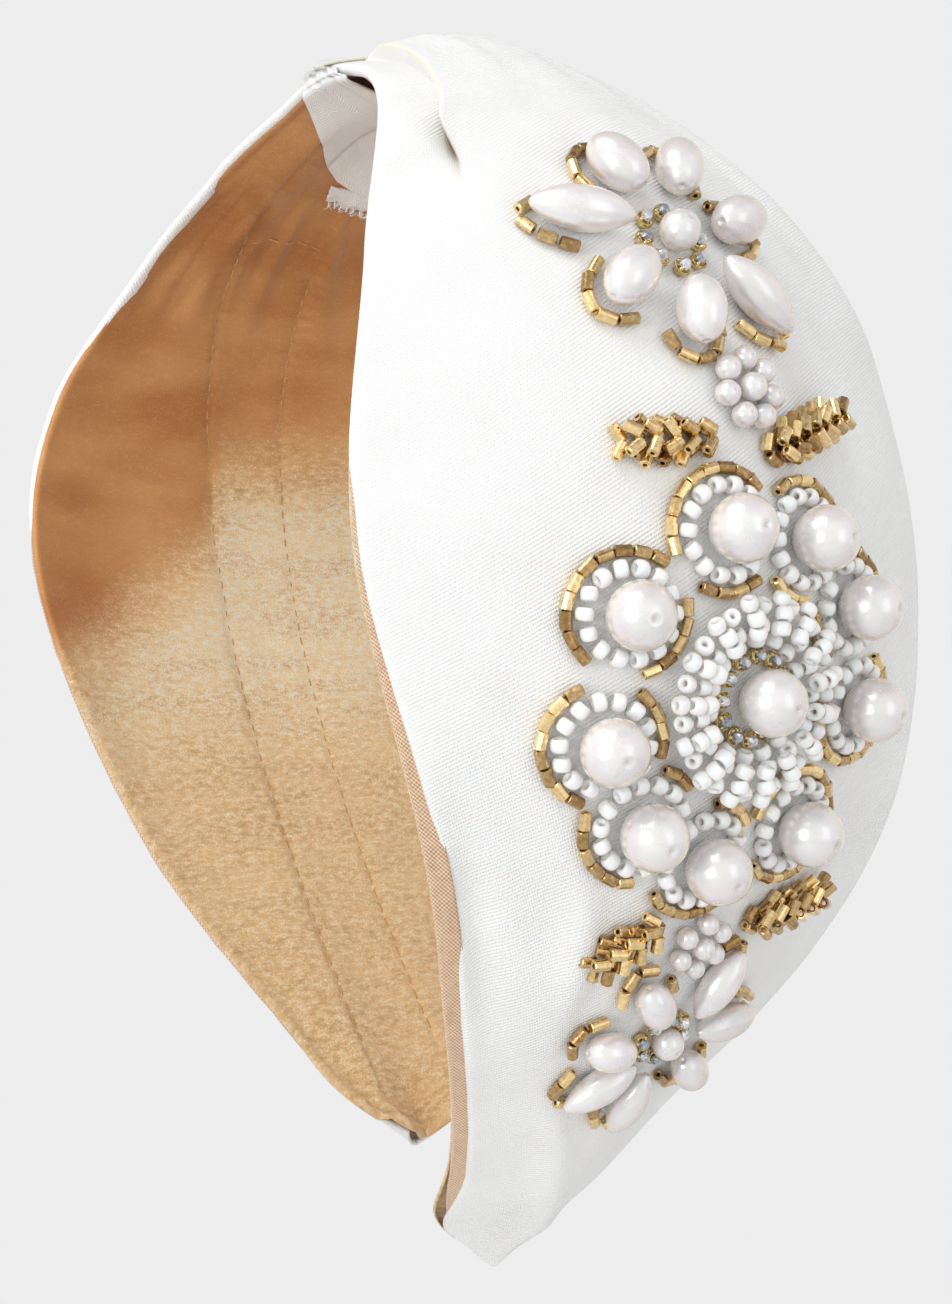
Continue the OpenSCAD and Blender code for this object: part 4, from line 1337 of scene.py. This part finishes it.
# The cup's profile as (height, radius), and a claw's rows as (radius, height, half width).
CUP = ((0.0, 0.72), (0.06, 0.88), (0.45, 1.02), (0.98, 1.12),
       (1.02, 1.05), (0.98, 0.95), (0.4, 0.84), (0.25, 0.5))
CLAW = ((1.12, 0.55, 0.26), (1.13, 1.02, 0.24), (1.0, 1.3, 0.2), (0.74, 1.42, 0.12))


def cup_template():
    """A cup with a rounded foot, and four claws bent over the stone."""
    body, faces = turned(CUP, 24)
    points = [body[:, [2, 1, 0]]]
    count = len(body)
    for k in range(4):
        a = math.pi / 2 * k + math.pi / 4
        radial = np.array([math.cos(a), math.sin(a), 0])
        side = np.array([-math.sin(a), math.cos(a), 0])
        for r, z, w in CLAW:
            inner = radial * (r - 0.13) + [0, 0, z - 0.05]
            outer = radial * r + [0, 0, z]
            points.append(np.array([outer - side * w, outer + side * w, inner + side * w, inner - side * w]))
        faces += list(ring_faces(len(CLAW), 4, count, flip=True))
        faces += [(count, count + 3, count + 2, count + 1), range(count + 12, count + 16)]
        count += 16
    return np.concatenate(points), faces


def spun(points, axis, angle):
    """Points turned about one of their own axes."""
    a, b = (axis + 1) % 3, (axis + 2) % 3
    made = points.copy()
    made[:, a] = points[:, a] * math.cos(angle) - points[:, b] * math.sin(angle)
    made[:, b] = points[:, a] * math.sin(angle) + points[:, b] * math.cos(angle)
    return made


def place_beads(node, template, seed, material, slot, smooth=True, upright=False, jitter=0.03, tilt=4,
                foot=0.0, to_size=False, gather=0.0):
    """Stands one bead of the template wherever the CAD node has one, and replaces the node.

    gather draws the beads together across the run of the node, and foot sinks the upright ones.
    """
    rng = np.random.default_rng(seed)
    batch = Batch()
    shape, faces = template
    places = bead_places(node, upright)
    middles = np.array([place[0] for place in places])
    line = np.linalg.svd(middles - middles.mean(axis=0))[2][0]
    for middle, axes, extents in places:
        away = middle - middles.mean(axis=0)
        away = away - line * (away @ line)
        away = away - axes[2] * (away @ axes[2])
        middle = middle - gather * away
        local = shape * (1 + rng.uniform(-jitter, jitter, 3)) * (extents if to_size else 1)
        local = spun(local, 2 if upright else 0, rng.uniform(0, 2 * math.pi))
        if upright:
            middle = middle - axes[2] * foot
        else:
            lean = np.radians(rng.uniform(-tilt, tilt, 2))
            x = unit(axes[0] + axes[1] * math.tan(lean[0]) + axes[2] * math.tan(lean[1]))
            z = unit(axes[2] - x * (axes[2] @ x))
            axes = np.stack([x, np.cross(z, x), z])
        batch.add(middle + local @ axes, faces, rng.uniform())
    finish_piece(batch.build(f"{node}_detail", smooth), "right_arm", material, node)


TUBES = dict(material=GILT, slot="gold_tube_bead", smooth=False)
SEEDS = dict(material=SEED_WHITE, slot="seed_bead", jitter=0.07, tilt=20)
PEARLS = dict(material=BIG_PEARL, slot="pearl", to_size=True)
CUPS = dict(material=CUP_GILT, slot="stone_cup", upright=True, foot=0.5, jitter=0.02)
STONES = dict(material=CRYSTAL, slot="rhinestone", smooth=False, upright=True, foot=0.7, jitter=0.02)


def embroider():
    """Sews on every kind of bead. Each CAD node has its own seed."""
    pearl = pearl_template()
    small_pearl = pearl_template(sides=24, steps=16)
    navette = pearl_template(point=0.45)
    for i, (owner, length) in enumerate((("upper_flower", 2.45), ("lower_flower", 2.45), ("petal", 2.2))):
        place_beads(f"{owner}_outline_tubes", tube_template(length), 50 + i, **TUBES, tilt=7)
    for i, leaf in enumerate(("upper_front", "upper_back", "lower_front", "lower_back")):
        place_beads(f"{leaf}_leaf_tubes", tube_template(2.2), 60 + i, **TUBES, tilt=17, gather=0.3)
    for i, owner in enumerate(("petal", "rosette")):
        place_beads(f"{owner}_seed_beads", seed_template(), 70 + i, **SEEDS)
    for i, node in enumerate(("petal_pearls", "rosette_centre_pearl")):
        place_beads(node, pearl, 80 + i, **PEARLS, jitter=0.01)
    for i, end in enumerate(("upper", "lower")):
        place_beads(f"{end}_cluster_pearls", small_pearl, 85 + i, **PEARLS)
    for i, flower in enumerate(("upper_flower", "lower_flower")):
        place_beads(f"{flower}_centre", pearl, 90 + i, **PEARLS, jitter=0.01)
        place_beads(f"{flower}_oval_pearls", pearl, 100 + i, **PEARLS, tilt=3)
        place_beads(f"{flower}_navette_pearls", navette, 110 + i, **PEARLS, tilt=3)
    for i, group in enumerate(("upper_flower", "rosette", "lower_flower")):
        place_beads(f"{group}_stone_cups", cup_template(), 120 + i, **CUPS)
        place_beads(f"{group}_rhinestones", stone_template(), 130 + i, **STONES)


embroider()


# ---------------------------------------------------------------- carried-over CAD nodes
for node in ("frame_crown", "frame_right", "frame_left"):
    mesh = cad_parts[node].data
    mesh.materials.clear()
    mesh.materials.append(STEEL)


# ---------------------------------------------------------------- floor, backdrop and light
def make_floor():
    bpy.ops.mesh.primitive_cylinder_add(vertices=128, radius=0.8, depth=0.01,
                                        location=(0, 0, cad_box[0].z - 0.25))
    floor = bpy.context.object
    floor.name = "floor"
    m = Shader("pale_floor", Specular_IOR_Level=0.2)
    grain = m.noise(m.place(), 3, 2)
    m.colour(m.mix(grain, (0.83, 0.83, 0.83, 1), (0.85, 0.85, 0.85, 1)))
    m.surface.inputs["Roughness"].default_value = 0.9
    floor.data.materials.append(m.material)


def make_world():
    """A pale studio: bright all round at eye level, a little darker overhead so that gloss has shape."""
    world = bpy.data.worlds.new("studio")
    bpy.context.scene.world = world
    world.use_nodes = True
    nodes = Nodes(world.node_tree)
    around = nodes.node("ShaderNodeTexCoord").outputs["Generated"]
    height = nodes.node("ShaderNodeSeparateXYZ", {0: around}).outputs["Z"]
    brightness = nodes.spread(height, 0.55, 0.8, 0.85, 0.42)
    nodes.link(brightness, nodes.tree.nodes["Background"].inputs["Color"])


def make_light(name, direction, distance, size, power):
    data = bpy.data.lights.new(name, "AREA")
    data.shape = "RECTANGLE"
    data.size, data.size_y = size
    data.energy = power
    light = bpy.data.objects.new(name, data)
    bpy.context.scene.collection.objects.link(light)
    towards = direction.normalized()
    light.location = CAMERA_TARGET + towards * distance
    light.rotation_mode = "QUATERNION"
    light.rotation_quaternion = towards.to_track_quat("Z", "Y")


make_floor()
make_world()
right, up, back = camera_axes()
make_light("key", back * 0.5 + up * 0.9 - right * 0.45, 0.75, (0.5, 0.4), 2.4)
make_light("fill", back * 0.8 + right * 0.7 + up * 0.1, 0.8, (0.35, 0.6), 0.35)
make_light("inside", back * 0.9 - right * 0.6 + up * 0.05, 0.7, (0.3, 0.3), 1.3)
make_light("low", back * 0.5 - up * 0.8 - right * 0.2, 0.8, (0.5, 0.3), 0.9)
bpy.context.scene.view_settings.view_transform = "Standard"
